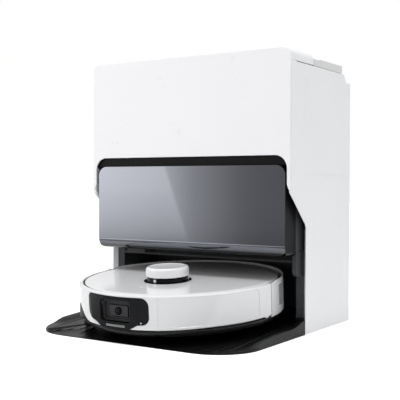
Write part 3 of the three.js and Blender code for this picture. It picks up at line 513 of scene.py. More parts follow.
PANEL_BACK = FRONT + WALL
SKIN_FRONT = PANEL_BACK + 0.3
INNER = HALF - WALL
LEG_INNER = 198.6  # inner face of the return that stiffens the leg
SLANT_TOP = (FRONT, 235.6)
SLANT_FOOT = (15.5, 185.6)
KNEE_Z, KNEE_TURN = 175.4, 46.7  # centre height and angle of the rounded knee under the slant
EDGE_LEAN = 4 / 3  # the walls' front edges lean back by this much towards the inside
PANEL_CORNER = 14  # radius of the front's upper corners
OPENING_HALF, OPENING_TOP, OPENING_FOOT = 198.5, 297, 247  # the front panel's opening
LEDGE = 433.5
FOOT_GAP = 0.6  # between the casing and the floor
SHELF_TOP, WELL_FRONT = 135.9, 44  # the wells that the tanks stand in
SEAM_Z = 266
FINGER_SLOT_FRONT = -18.5  # where the gap under the top deck begins


def slant_z(y):
    """Height of the side wall's slanted front edge."""
    return SLANT_TOP[1] + (y - SLANT_TOP[0]) * (SLANT_FOOT[1] - SLANT_TOP[1]) / (SLANT_FOOT[0] - SLANT_TOP[0])


def edge_space(side):
    """The space in front of a side wall's edge, rounded at the knee and leaning back towards the inside."""
    ahead, below, knee_radius = -80, -5, 14
    knee = arc(LEG_FRONT - knee_radius, KNEE_Z, knee_radius, 0, KNEE_TURN, 8)
    outline = [(ahead, below), (LEG_FRONT, below), *knee, (ahead, slant_z(ahead))]
    return bridge("edge_space", *([(side * x, y + (HALF - x) * EDGE_LEAN, z) for y, z in outline]
                                  for x in (HALF - 12, HALF + 1)))


def side_wall(name, side):
    """One side of the casing: round rear corner, stepped top edge, slanted front edge, seam and groove."""
    corner, top = 10, DECK_SPLIT + 1.2
    centre_x, centre_y = HALF - corner, REAR - corner
    back_edge = 185
    plan = [(INNER, SKIN_FRONT), (HALF, SKIN_FRONT)]
    plan += arc(centre_x, centre_y, corner, 0, 90, 10)
    plan += [(back_edge, REAR), (back_edge, REAR - WALL)]
    plan += arc(centre_x, centre_y, corner - WALL, 90, 0, 10)
    wall = prism(name, [(side * u, v) for u, v in plan], "z", FOOT_GAP, top)
    profile = [(SKIN_FRONT, FOOT_GAP), (SKIN_FRONT, top), (FINGER_SLOT_FRONT, top),
               (FINGER_SLOT_FRONT + 4, DECK_SPLIT), (172.1, DECK_SPLIT), (183.5, LEDGE), (REAR, LEDGE),
               (REAR, FOOT_GAP)]
    trim(wall, prism("keep", profile, "x", -HALF, HALF))
    across = mirrored(side, LEG_INNER, INNER + 0.1)
    leg_return = block("return", *across, LEG_FRONT, LEG_FRONT + 14, FOOT_GAP, 173.4)
    carve(wall, leg_return, operation="UNION")
    skin = mirrored(side, HALF - 0.7, HALF + 1)
    seam = block("seam", *skin, 9.5, 202.5, SEAM_Z - 0.35, SEAM_Z + 0.35)
    groove = block("groove", *skin, 17.9, 19.1, 348, 425)
    return bevel(carve(wall, edge_space(side), seam, groove), 0.6, 2, 30)


def station_skin():
    """Both side walls, and the shelf and partitions of the tanks' wells between them."""
    for name, side in (("side_wall_right", 1), ("side_wall_left", -1)):
        finish(side_wall(name, side), "dock", "station_white", ["dock_shell"])
    reach = INNER - 0.1
    plan = rounded_rect(-reach, WELL_FRONT - 0.1, reach, 206.2, (0, 0, 7, 7))
    inner = join(
        "tank_wells",
        prism("shelf", plan, "z", 133.5, SHELF_TOP - 0.1),
        block("divider", -reach, reach, WELL_FRONT, 46.7, SHELF_TOP, 447),
        block("rear_wall", -reach, reach, 172, 174, SHELF_TOP, 430),
        block("middle", -1.5, 1.5, 46.8, 171.9, SHELF_TOP, 440),
    )
    finish(bevel(inner, 0.5, 2), "dock", "station_grey", ["dock_shell"])


def front_panel():
    """White upper front, arched over the dark cover."""
    radius, opening = PANEL_CORNER, 22
    lip = OPENING_HALF
    tip = SLANT_TOP[1] + 1
    outline = [(-HALF, tip), (-lip - 1.6, OPENING_FOOT - 2.6), (-lip, OPENING_FOOT + 3.5)]
    outline += arc(-lip + opening, OPENING_TOP - opening, opening, 180, 90, 12)
    outline += arc(lip - opening, OPENING_TOP - opening, opening, 90, 0, 12)
    outline += [(lip, OPENING_FOOT + 3.5), (lip + 1.6, OPENING_FOOT - 2.6), (HALF, tip)]
    outline += arc(HALF - radius, TOP - radius, radius, 0, 90, 12)
    outline += arc(-HALF + radius, TOP - radius, radius, 90, 180, 12)
    panel = prism("front_panel_skin", outline, "y", FRONT, PANEL_BACK)
    finish(bevel(panel, 0.8, 3), "dock", "station_front", ["front_panel"])


def top_deck():
    """White top over the front half: a shallow channel closed at its rear."""
    radius, bottom, rear = PANEL_CORNER, DECK_SPLIT + 1.5, 47.2
    outer = rounded_rect(-HALF, bottom, HALF, TOP, (0, 0, radius, radius), 12)
    core = rounded_rect(-INNER, bottom - 5, INNER, TOP - WALL, (0, 0, radius - WALL, radius - WALL), 12)
    deck = prism("top_deck_skin", outer, "y", SKIN_FRONT, rear)
    carve(deck, prism("core", core, "y", SKIN_FRONT - 1, rear - WALL))
    finish(bevel(deck, 0.8, 3), "dock", "station_white", ["top_deck"])


def deck_gap_shade():
    """Black block in the gap between the deck and the tanks' handles, a painted shade of that gap."""
    gap_shade = block("deck_gap_shade", -202.6, 202.6, 47.5, 50.5, 448.4, 460.5)
    finish(bevel(gap_shade, 0.5, 2), "dock", "liner_black", ["top_deck"])


def rear_cover():
    """Back plate with its ledge, a grille for the drying air and a frame round the inlet."""
    plate = block("rear_plate", -184.7, 184.7, REAR - WALL, REAR, 5, LEDGE)
    slots = []
    for i, z in enumerate(range(60, 116, 7)):
        slots.append(block("slot", 40 + i % 2 * 1.5, 110, REAR - 5, REAR + 2, z, z + 3))
    inlet = block("hole", 149.7, 178.3, 200, 215, 24.7, 45.3)
    seam = block("seam", -170, 170, REAR - 0.8, REAR + 2, 150, 150.8)
    carve(plate, *slots, inlet, seam)
    finish(bevel(plate, 0.6, 2), "dock", "station_white", ["rear_cover"])
    reach, back, under, crest = 201, 206.2, LEDGE - WALL, 446
    section = [(back, under), (back, LEDGE), (183.8, LEDGE), (174.3, crest), (172.4, crest),
               (172.4, crest - 2.4), (182.4, under)]
    ledge = prism("rear_ledge", section, "x", -reach, reach)
    plan = rounded_rect(-reach, 100, reach, back, (0, 0, 6.5, 6.5))
    trim(ledge, prism("plan", plan, "z", 400, 460))
    finish(bevel(ledge, 0.6, 2), "dock", "station_white", ["rear_cover"])


def surround():
    """Black band over the cover, and the cheeks beside it that follow the side walls' slanted edges."""
    reach, front, rear = 201, -31.5, 39.2
    bottom, top, foot = 281.6, 299, 138
    set_back = 24
    high, low = FRONT + set_back, rear - 5
    section = [(front, top), (front, bottom), (high, bottom - 15), (high, SLANT_TOP[1]),
               (low, slant_z(low - set_back)), (low, foot), (rear, foot), (rear, top)]
    band = block("bay_surround_skin", -reach, reach, front, front + WALL, bottom, top)
    cheeks = [prism("cheek", section, "x", *mirrored(side, 195.2, reach)) for side in (-1, 1)]
    carve(band, *cheeks, operation="UNION")
    # The band and cheeks take the darker copy of the liner's black: painted shade.
    finish(bevel(band, 0.6, 2), "dock", "liner_black", ["bay_surround"], material="surround_shaded_black")


def liner():
    """Lining of the bay, with its flange beside the robot and the openings in its back wall."""
    outer, top, flange_top, flange_outer = BAY_HALF + WALL, BAY_CEILING + WALL, 137.6, 198.2
    depth = BAY_FRONT, BAY_REAR + WALL
    flange_depth = BAY_FRONT, BAY_FRONT + WALL
    flange_low = ramp_height(31) + FOOT_GAP
    parts = []
    for side in (-1, 1):
        parts += [
            block("cheek", *mirrored(side, BAY_HALF, outer), *depth, FOOT_GAP, top),
            block("flange", *mirrored(side, 183.3, flange_outer), *flange_depth, flange_low, flange_top),
            block("foot", *mirrored(side, BAY_HALF, flange_outer), *flange_depth, FOOT_GAP, 30),
        ]
    haunch = rounded_rect(4.2, 97, BAY_FRONT + WALL, flange_top, (10, 0, 0, 0), 10)
    parts.append(prism("haunch", haunch, "x", 188, 194.9))
    parts.append(block("roof", -outer, outer, *depth, BAY_CEILING, top))
    back_low = ramp_height(BAY_REAR) + FOOT_GAP
    back = block("bay_liner_skin", -outer, outer, BAY_REAR, BAY_REAR + WALL, back_low, top)
    carve(back, *parts, operation="UNION")
    through = BAY_REAR - 5, BAY_REAR + 10
    contacts = [block("slot", x - 7.4, x + 7.4, *through, 59.6, 70.4) for x in (-29, 29)]
    carve(back, *contacts, block("port", -157, -123, *through, 32, 58))
    finish(bevel(back, 0.8, 2), "dock", "liner_black", ["bay_liner"])
    # Painted shade: a strip in the darker black closes the shaded gap between the bay's roof and the cover.
    shade_strip = block("bay_shade_strip", -183, 183, BAY_FRONT + 0.5, BAY_FRONT + 2.5, BAY_CEILING - 0.5, 133.2)
    finish(bevel(shade_strip, 0.5, 2), "dock", "liner_black", ["bay_liner"], material="surround_shaded_black")


# ---- station: dust side ----


def dust_cover():
    """Deep tub with a mirror-like face, rounded corners, a rolled lower edge and black sides."""
    front, back, roll = -34.5, 3.5, COVER_ROLL

    def tub(name, inset):
        section = rounded_rect(front + inset, COVER_BOTTOM + inset, back + inset * 2, COVER_TOP - inset,
                               (roll - inset, 0, 0, 0), 14)
        face = rounded_rect(-COVER_HALF + inset, COVER_BOTTOM + inset, COVER_HALF - inset, COVER_TOP - inset,
                            tuple(r - inset for r in (7, 7, 17, 17)), 12)
        body = prism(name, section, "x", -COVER_HALF + inset, COVER_HALF - inset)
        return trim(body, prism("face", face, "y", front - 1, back + 20))

    shell = carve(tub("dust_cover_skin", 0), tub("hollow", WALL))
    finish(bevel(shell, 0.6, 2, 50), "dust_cover", "mirror_cover", ["dust_cover"], 38)
    shell.data.materials.append(MATERIALS["cover_black"])
    reach, glazed_depth, roll_top = (COVER_HALF - 0.3) * MM, (front + 1.2) * MM, (COVER_BOTTOM + roll) * MM
    for face in shell.data.polygons:
        beside = abs(face.center.x) > reach
        behind = face.center.y > glazed_depth and face.center.z > roll_top
        inside = face.normal.y > 0.3
        if beside or behind or inside:
            face.material_index = 1


# ---- station: water side ----


def tank_top(name, side):
    """Lid and folding handle of one water tank; the lid's rear edge is round to clear its hinge."""
    x0, x1 = mirrored(side, 0.8, 203.5)
    front, rear, bottom, top = 75, 169.5, 449, 462
    radii = (1, 4, 4, 1) if side > 0 else (4, 1, 1, 4)
    lid = prism(f"{name}_lid_skin", rounded_rect(x0, front, x1, rear, radii, 6), "z", bottom, top)
    section = prism("section", rounded_rect(front, bottom, rear, top, (0, 4, 1, 0), 8), "x", x0 - 1, x1 + 1)
    trim(lid, section)
    carve(lid, block("finger", *mirrored(side, 80, 124), 160, 175, 455, 470))
    finish(bevel(lid, 1, 3), f"{name}_lid", "station_grey", [f"{name}_tank_lid"])
    bail = block(f"{name}_handle_skin", x0, x1, 51, 73.5, bottom + 0.2, top - 1)
    carve(bail, block("gap", *mirrored(side, 9.8, 194.5), 60, 80, bottom, top))
    finish(bevel(bail, 1.4, 3), f"{name}_handle", "station_grey", [f"{name}_tank_handle"])


def tank_body(name, side):
    """Moulded tank with an inset front panel, level marks and an open mouth under its lid."""
    x0, x1 = mirrored(side, 2.2, 199)
    front, rear, bottom, rim = 50, 169, 136.2, 448.6
    w = 2.5
    body = prism(f"{name}_tank_body", rounded_rect(x0, front, x1, rear, 8, 8), "z", bottom, rim)
    room = prism("room", rounded_rect(x0 + w, front + w, x1 - w, rear - w, 6, 6), "z", bottom + w, rim - 3)
    mouth = block("mouth", x0 + 6, x1 - 6, 79, 159, 438, 450)
    panel = prism("panel", rounded_rect(x0 + 22, 166, x1 - 22, 404, 14, 8), "y", front - 1, front + 0.9)
    marks = [block("mark", x0 + 40, x0 + (70 if i % 2 else 54), front - 1, front + 1.6, z, z + 1.2)
             for i, z in enumerate(spread(190, 380, 10))]
    ribs = [block("rib", x0 + 14, x1 - 14, rear - 1, rear + 1, z, z + 3) for z in spread(170, 400, 6)]
    carve(body, room, mouth, panel, *marks, *ribs)
    finish(bevel(body, 0.7, 2, 50), f"{name}_tank", "tank_smoke", [f"{name}_water_tank"])


def dust_bag():
    """Half-full paper bag: a sagging pillow with pinched corners and creases, and its stiff collar."""
    columns, rows = 72, 40
    x, y, z = -44, 10, 206
    half_x, half_y, half_z = 140.5, 25, 60.5

    def skin(u, v, face):
        """A point of one face; u and v run from -1 to 1 across and up the bag."""
        pinch = 1 - 0.035 * math.cos(v * math.pi / 2) * abs(u) - 0.03 * math.cos(u * math.pi / 2) * abs(v)
        fullness = (max(1 - abs(u) ** 3.2, 0) * max(1 - abs(v) ** 3.2, 0)) ** 0.45
        sag = min(1 - 0.13 * v, 1)
        crease = 0.05 * math.sin(u * 13 + 3 * v) * math.sin(v * 7 + face) + 0.03 * math.sin(u * 31 - v * 17)
        depth = half_y * fullness * sag * (0.93 + crease * (0.4 + abs(u)))
        return x + half_x * u * pinch, y + face * (depth + 0.5), z + half_z * v * pinch

    first, last = ([skin(u, v, face) for v in spread(-1, 1, rows - 1) for u in spread(-1, 1, columns - 1)]
                   for face in (-1, 1))
    bag = closed_sheet("dust_bag_paper", first, last, rows, columns)
    finish(bag, "dock", "bag_paper", ["dust_bag"], sharp=70)
    collar = prism("dust_bag_collar", rounded_rect(-174, -14, -106, 34, 5), "z", 141, 144.2)
    carve(collar, prism("mouth", rounded_rect(-154, -4, -126, 24, 8), "z", 140, 146))
    finish(bevel(collar, 0.5, 2), "dock", "bag_paper", ["dust_bag"], material="station_grey")


# ---- station: base ----

CORNER = 75
APRON_END = LEG_FRONT - 0.3
RIB_X = (106, 123, 140, 157)  # of the grip ribs on the ramp
RIB_FROM, RIB_TO, RIB_RISE, RIB_LEAN = -198, -118, 0.9, 0.12


def plan_half(y):
    """Half width of the base plate at y: straight sides and large front corners."""
    centre = RAMP_FRONT + CORNER
    if y >= centre:
        return HALF
    return HALF - CORNER + math.sqrt(max(CORNER ** 2 - (centre - y) ** 2, 0))


def curb_rise(y):
    """Height of the side curb above the ramp at y."""
    start = smooth_step((y + 151) / 34) * 5.6
    sink = 1 - smooth_step((y + 80) / 60) * 0.5
    wing = smooth_step((y + 22) / 42) * 5.4
    return start * sink + wing


def base_height(x, y):
    """Top surface of the base plate in front of the side walls."""
    z = ramp_height(y)
    inset = HALF - abs(x)
    hump = 1 - smooth_step((inset - 4) / 21)
    z += curb_rise(y) * hump
    foot = abs(inset - 27)
    if y > -172 and foot < 2:
        z -= 1.3 * (1 - foot / 2)
    rib_end = smooth_step((y - RIB_FROM) / 12) * smooth_step((RIB_TO - y) / 16)
    for rib in RIB_X:
        away = abs(abs(x) - rib - (y + 190) * RIB_LEAN)
        z += RIB_RISE * (1 - smooth_step(away / 3)) * rib_end
    return max(z, 0.5)


def base_plate():
    """Ramp, curbs, wheel wells and the opening for the wash tray, as one closed sheet over its underside."""
    insets = [0, 0.6, 1.6, 3.2, 5.5, 8, 11, 14, 17, 20, 23, 25, 26, 27, 28, 29, 31, 34]
    inner = [*range(170, 95, -2), 80, 60, 40, 20]
    rows = spread(RAMP_FRONT, RAMP_FRONT + 12, 8)[:-1] + spread(RAMP_FRONT + 12, APRON_END, 74)
    surface = []
    for y in rows:
        half = plan_half(y)
        right = [max(half - d, 0) for d in insets] + [x * half / HALF for x in inner]
        surface += [(x, y, base_height(x, y)) for x in [-x for x in right] + [0] + right[::-1]]
    underside = [(x, y, 0) for x, y, _ in surface]
    apron = closed_sheet("base_plate_skin", surface, underside, len(rows), len(surface) // len(rows))
    inside, bay_end, rear, floor = BAY_HALF - 0.4, 145.3, 206, 4.7
    seam, wing_rear = APRON_END - 0.2, BAY_FRONT - 0.4
    section = [(seam, 0), (rear, 0), (rear, floor), (bay_end, floor), (bay_end, ramp_height(bay_end)),
               (seam, ramp_height(APRON_END))]
    deep = prism("deep", section, "x", -inside, inside)
    wing = [(seam, 1), (seam, 24.8), (wing_rear, 27), (wing_rear, 1)]
    wings = [prism("wing", wing, "x", *mirrored(side, inside - 1, 198.2)) for side in (-1, 1)]
    carve(apron, deep, *wings, operation="UNION")
    wells = [block("well", s * 118 - 13, s * 118 + 13, -63.5, -17.5, 5, 60) for s in (-1, 1)]
    carve(apron, block("tray_hole", -130.4, 130.4, 17.6, 125.4, 2.2, 60), *wells)
    finish(apron, "dock", "base_black", ["base_plate"], sharp=30)


# ---- robot: casing ----

LIP_INNER = 168.7
PANEL_FROM, PANEL_TO = 22, 79  # the shallow inset in the bumper's face


def arch_bottom(a):
    """Lower edge of the bumper: an S-curve clears the side brush arm, and a small point hangs by the seam."""
    low = 23.6 + 2.4 * smooth_step((abs(a) - 18) / 40)
    if a < -22:
        rise = smooth_step((-24 - a) / 24) * (1 - smooth_step((-61 - a) / 12))
        low += 26 * rise
    if a > 83:
        low -= 3.2 * max(0, 1 - abs(a - 85.5) / 2.2)
    return low


def bumper_profile(a):
    """Closed section of the bumper at a bearing."""
    low = arch_bottom(a)
    top_cut, low_cut, face = 75, low + 4.5, RADIUS
    if PANEL_FROM < a < PANEL_TO:
        face -= 0.7
        corner = 10
        past = max(math.radians(a - PANEL_TO) * RADIUS + corner, 0)
        top_cut -= corner - math.sqrt(max(corner ** 2 - past ** 2, 0))
    outer = [(172.2, low), (RADIUS - 0.9, low + 0.3), (RADIUS, low + 1.4), (RADIUS, low_cut - 0.5),
             (face, low_cut), (face, (low_cut + top_cut) / 2), (face, top_cut - 0.5), (RADIUS, top_cut),
             (RADIUS - 0.05, 75.2), (174.4, 76.3), (173, 77.2), (171.2, 77.8), (LIP_INNER + 1, RIM),
             (LIP_INNER, RIM - 0.6)]
    inner = [(LIP_INNER, RIM - 2.6), (170.6, RIM - 4), (171.5, 71), (171.5, low + 1)]
    return outer + inner


def bumper():
    """White front half, open at the camera window; sections stand closer where its shape turns sharply."""
    angles = spread(-89.55, 89.55, 150)
    angles += [PANEL_FROM - 0.01, PANEL_FROM + 0.01, PANEL_TO - 0.01, PANEL_TO + 0.01]
    angles += spread(PANEL_TO - 3.3, PANEL_TO - 0.02, 9) + spread(82.5, 88.5, 12)
    shell = swept("bumper_skin", bumper_profile, sorted(angles))
    carve(shell, window_outline("opening", 160, 190, -0.4))
    finish(shell, "bumper", "robot_white", ["bumper"], sharp=28)


WINDOW_CENTRE = -3.4  # bearing of the middle of the camera window
CAMERA_X, CAMERA_Z = -9, 48.8


def window_shape(margin=0):
    """Outline of the camera window in (bearing, z): a rounded box with a chin hanging in its middle."""
    per_mm = math.degrees(1 / RADIUS)
    left, right, top = -64.5 - margin, 64.5 + margin, 74.4 + margin
    shoulder, chin = 31 - margin, 23.4 - margin
    points = arc(left + 8, top - 8, 8, 180, 90, 8)
    points += arc(right - 14, top - 14, 14, 90, 0, 10)
    points += arc(right - 12, shoulder + 12, 12, 0, -80, 8)
    points += [(44, shoulder - 0.6), (38, (shoulder + chin) / 2), (31, chin + 0.3), (24, chin)]
    points += [(-24, chin), (-31, chin + 0.5), (-37, (shoulder + chin) / 2), (-43, shoulder - 1)]
    points += arc(left + 17, shoulder + 17, 17, 262, 180, 8)
    return [(WINDOW_CENTRE + u * per_mm, z) for u, z in points]


def window_outline(name, r0, r1, margin):
    """The window's outline as a wedge between two radii."""
    return bridge(name, *([(*bearing(a, r), z) for a, z in window_shape(margin)] for r in (r0, r1)), True)


def camera_window():
    """Curved black window: a ring sector trimmed to the outline, with the camera's recess through it."""
    blank = swept("camera_window_skin", box_section(172, 175.7, 20, 77),
                  spread(WINDOW_CENTRE - 23, WINDOW_CENTRE + 23, 46))
    trim(blank, window_outline("trim", 165, 185, -0.7))
    recess = rounded_rect(CAMERA_X - 31, 33, CAMERA_X + 31, 68, 6, 6)
    carve(blank, prism("recess", recess, "y", -190, -150, True))
    carve(blank, swept("seam", box_section(175.3, 177, 36, 72), spread(11.7, 12.1, 2)))
    finish(bevel(blank, 0.5, 2, 50), "bumper", "window_black", ["camera_window"], sharp=30)
    # Painted highlight: a small white disc on the black window stands for a bright point there; it does not
    # glow.
    dot_bearing, dot_z = 13.2, 35
    ends = [(*bearing(dot_bearing, r), dot_z) for r in (175.2, 176.1)]
    lamp = rod("window_highlight_dot", ends, 1.1, 20)
    finish(bevel(lamp, 0.3, 2), "bumper", "window_black", ["camera_window"], material="robot_white")


def camera_module():
    """Camera behind the window: stepped frame, lens plate, barrel and glass."""
    x, z = CAMERA_X, CAMERA_Z

    def frame_box(name, half, low, high, radius, front, back):
        return prism(name, rounded_rect(x - half, low, x + half, high, radius, 6), "y", front, back, True)

    housing = frame_box("camera_module_skin", 30.5, 33.2, 67.6, 5, -165.5, -148)
    step = frame_box("step", 26.5, 36.5, 64, 4, -170, -162)
    carve(housing, step, frame_box("inner", 19.5, 39, 58.5, 2.5, -170, -159.5))
    finish(bevel(housing, 0.5, 2), "robot", "robot_dark", ["camera_module"])
    plate = frame_box("lens_plate", 18.3, 40, 57.5, 2, -163.4, -160)
    finish(bevel(plate, 0.4, 2), "robot", "camera_grey", ["camera_module"])
    barrel = rod("lens_barrel", ((x, -165.2, z), (x, -161, z)), 6.4, 40)
    finish(bevel(barrel, 0.6, 2), "robot", "turret_dark", ["camera_module"])
    rings, sides = 7, 32
    points = []
    for tilt in spread(0, math.radians(84), rings - 1):
        depth = -165.3 - 1.8 * math.sin(tilt)
        points += [(u, depth, v) for u, v in arc(x, z, 4.2 * math.cos(tilt), 0, 360, sides)[:-1]]
    tip = tuple(range(len(points) - sides, len(points)))
    glass = mesh_object("lens_glass", points, grid_faces(rings, sides, False, True) + [tip], True)
    finish(glass, "robot", "window_black", ["camera_module"], sharp=60)


def led_bar():
    """Light bar with a rounded face under the camera."""
    section = [(175, 26.2), (176.6, 26.5), (176.9, 27.6), (176.6, 29.6), (175, 29.9)]
    bar = swept("led_bar_skin", section, spread(-8.5, 3.8, 14))
    finish(bevel(bar, 0.3, 2), "bumper", "led_grey", ["led_bar"])


def body_shell():
    """White rear half of the side, with a thin standing rim, a notch in it and the column of vent slots,
    whose near-black louvers carry painted shade.
    """
    def profile(a):
        off_seam = 180 - abs(180 - a)
        low_rim = RIM - 0.6
        rim = low_rim if 260 < a < 264 else low_rim + 2.4 * smooth_step((off_seam - 92.5) / 5)
        return [(171.5, 22.6), (172.6, 21.6), (174.2, 22.6), (RADIUS, 25), (RADIUS, rim - 1.2),
                (174.7, rim - 0.4), (174.1, rim), (172.9, rim), (172.4, rim - 0.4), (172.2, rim - 2),
                (172, 70), (171.5, 68)]
    ring = swept("body_shell_skin", profile, spread(90.5, 269.5, 150))
    height, from_bearing, to_bearing, gap = 2.3, 100, 108, 0.04
    slots, louvers = [], []
    for z in spread(36.4, 66.85, 7):
        slots.append(swept("slot", box_section(165, 180, z, z + height), spread(from_bearing, to_bearing, 4)))
        louvers.append(swept("louver", box_section(172.8, 174.9, z + gap, z + height - gap),
                             spread(from_bearing + 0.1, to_bearing - 0.1, 4)))
    carve(ring, *slots)
    finish(ring, "robot", "robot_white", ["body_shell"], sharp=30)
    vents = bevel(join("vent_louvers", *louvers), 0.2, 2)
    finish(vents, "robot", "robot_dark", ["body_shell"], material="vent_slot_shade_black")


def body_deck():
    """Deck under the top cover, wider behind."""
    bottom, top = 66, 68.5
    disc = turned("inner_deck", box_section(0, 163, bottom, top), 120)
    rear = swept("deck_rim", box_section(162.5, 170.8, bottom, top), spread(92, 268, 90))
    finish(join("body_deck", disc, rear), "robot", "robot_dark", ["turret_deck"])


def top_cover():
    """Glossy lid: flush with the bumper in front, sunk inside the rim behind."""
    profile = [(0, 73.5), (160.5, 73.5), (160.5, 69), (165.2, 69), (165.6, 70), (165.6, 76.2), (165, 77.3),
               (163.4, 77.9), (160, RIM), (0, RIM)]
    cover = turned("top_cover_skin", profile, 180)
    turret_hole = turned("hole", box_section(0, 38.4, 60, 90), 72, 0, TURRET_Y)
    button_y = -112
    carve(cover, turret_hole, turned("hole", box_section(0, 7.4, 60, 90), 40, 0, button_y))
    finish(cover, "top_cover", "robot_top", ["top_cover"], sharp=30)
    cap_profile = [(0, 71), (7, 71), (7, 77.2), (6.5, 77.8), (4, 77.5), (0, 77.4)]
    cap = turned("power_button_skin", cap_profile, 40, 0, button_y)
    finish(cap, "power_button", "robot_top", ["power_button"], sharp=40)


def chassis_band():
    """Dark band under the bumper, open at the side brush; its black is darker than its slot's, partly as
    painted shade under the bumper. The floor pan behind it stays the CAD's.
    """
    profile = [(160, 11.4), (163.5, 11.6), (167.5, 13.6), (170.2, 16.8), (171.2, 19.5), (171.2, 22.4),
               (170.6, 23), (160, 23)]
    for name, start, end, steps in (("left", -180, -68, 80), ("right", -30, 180, 150)):
        band = swept(f"chassis_band_{name}", profile, spread(start, end, steps))
        finish(band, "robot", "robot_dark", sharp=30, material="chassis_shaded_black")


# ---- robot: turret ----


def turret():
    """Laser turret: recessed base with its band, three posts and the domed cap over them."""
    base = [(0, 69), (37.4, 69), (37.4, 78.2), (40.2, 78.25), (40.4, 78.6), (38.4, 78.9), (35.6, 79.1),
            (34.6, 79.5), (34.6, 84.3), (32.6, 84.5), (32.4, 87.5), (30.5, 87.5), (30.5, 80.2), (0, 80.2)]
    band = turned("lidar_base_skin", base, 120, 0, TURRET_Y)
    finish(band, "robot", "turret_dark", ["turret_deck"], sharp=30)
    post = box_section(34.7, 36.4, 79.6, 84.4)
    posts = [swept("post", post, spread(a - 3.6, a + 3.6, 6), 0, TURRET_Y) for a in (-1, 119, 239)]
    finish(bevel(join("lidar_posts", *posts), 0.3, 2), "robot", "robot_top", ["turret_deck"])
    dome = [(33, 86.9), (35.6, 86.6), (36.3, 87.2), (36.7, 90), (36.4, 97.5), (35.9, 99.6), (34.8, 101.2),
            (33.2, 102.1), (31.2, 102.3), (29.6, 101.9), (27.5, 101.3), (0, 101.2), (0, 99), (33, 99)]
    cap = turned("turret_cap_skin", dome, 120, 0, TURRET_Y)
    finish(cap, "turret_cap", "robot_top", ["turret_cap"], sharp=35)


# ---- robot: side brush ----


def side_brush():
    """Swinging arm with its motor housing, and the hub with two bundles of bristles."""
    hub_x, hub_y = bearing(HUB_BEARING, HUB_RADIUS)
    pivot_x, pivot_y = bearing(PIVOT_BEARING, PIVOT_RADIUS)
    housing = [(0, 14.8), (12, 14.8), (15.2, 16.2), (16.8, 19), (17, 30), (16.6, 40), (14.8, 45),
               (11, 47.4), (0, 47.6)]
    motor = turned("side_brush_motor", housing, 48, hub_x, hub_y)
    finish(motor, "side_brush_arm", "arm_grey", ["side_brush_arm"], sharp=40)
    along = math.degrees(math.atan2(hub_y - pivot_y, hub_x - pivot_x))
    outline = arc(hub_x, hub_y, 8, along - 90, along + 90, 10)
    outline += arc(pivot_x, pivot_y, 8, along + 90, along + 270, 10)
    link = prism("side_brush_link", outline, "z", 46.5, 56, True)
    finish(bevel(link, 1, 2), "side_brush_arm", "arm_grey", ["side_brush_arm"])
    hub_profile = [(0, 1.6), (8.5, 1.6), (10.5, 3), (11, 6), (10.6, 11), (7, 14.2), (0, 14.4)]
    hub = turned("side_brush_hub", hub_profile, 40, hub_x, hub_y)
    finish(hub, "side_brush", "bristle_black", ["side_brush"], sharp=35)
    bristles = []
    for heading in (229, 49):
        for k in range(-5, 6):
            a = math.radians(heading + k * 0.9)
            level = 2.8 + 0.6 * math.cos(k * 2.1)
            stations = (8, 4.6), (40, level), (73.2 - abs(k) * 0.7, level - 0.9)
            start, middle, end = ((hub_x + r * math.cos(a), hub_y + r * math.sin(a), z) for r, z in stations)
            bristles.append(rod("bristle", (start, middle), 0.75, 6))
            bristles.append(rod("bristle", (middle, end), 0.6, 6))
    tufts = join("side_brush_bristles", *bristles)
    finish(tufts, "side_brush", "bristle_black", ["side_brush"], sharp=60)


# ---- robot: mop ----


def mop_cloth():
    """Half-moon pad of looped pile with a hemmed edge, flat where it meets its plate."""
    radius, half_width, front, centre_y = 153.4, 122.4, 66.6, 108
    low, high = 0.95, 4.65
    start = math.degrees(math.acos(half_width / radius))
    rim = arc(0, 0, radius, start, 180 - start, 70)
    shoulder = rim[0][1]
    rim += [(-half_width, y) for y in spread(shoulder, front, 12)[1:]]
    rim += [(x, front) for x in spread(-half_width, half_width, 60)[1:]]
    rim += [(half_width, y) for y in spread(front, shoulder, 12)[1:-1]]
    points = []
    for ring, share in enumerate(spread(0.02, 1, 36)):
        hem = 0.7 if 0.93 < share < 0.96 else 0
        edge = 1.6 * max(share - 0.95, 0) / 0.05
        for x, y in rim:
            px, py = x * share, centre_y + (y - centre_y) * share
            loops = 0.5 + 0.5 * math.sin(px * 0.9) * math.sin(py * 0.9 + ring)
            points.append((px, py, low + 0.5 * loops + hem + edge))
    for share in (1, 0.5):
        points += [(x * share, centre_y + (y - centre_y) * share, high) for x, y in rim]
    count = len(rim)
    faces = grid_faces(len(points) // count, count, False, True)
    faces += [tuple(range(count)), tuple(range(len(points) - count, len(points)))]
    cloth = mesh_object("mop_pad", points, faces, True)
    finish(cloth, "mop", "mop_fabric", ["mop_cloth"], sharp=60)


# ---- pieces that keep their CAD shape ----


def dress_cad_nodes():
    """Every CAD node gets its slot's material and softened edges."""
    slots = {entry["node"]: entry["material_slot"] for entry in frame["record"]["subparts"]}
    for name, node in frame["nodes"].items():
        node.data.materials.clear()
        node.data.materials.append(MATERIALS[slots[name]])
        edge_modifier(node, 0.5, 2, 50)


# ---- stage, camera and light ----


def camera_split(tree, as_light, seen):
    """One strength for the light that reaches the object, another for what the camera sees directly."""
    path = tree.nodes.new("ShaderNodeLightPath")
    strength = tree.nodes.new("ShaderNodeMapRange")
    put(strength, To_Min=as_light, To_Max=seen)
    tree.links.new(path.outputs["Is Camera Ray"], strength.inputs["Value"])
    return strength.outputs["Result"]


def flat(name, x0, x1, y0, y1, z):
    return mesh_object(name, [(x0, y0, z), (x1, y0, z), (x1, y1, z), (x0, y1, z)], [(0, 1, 2, 3)])


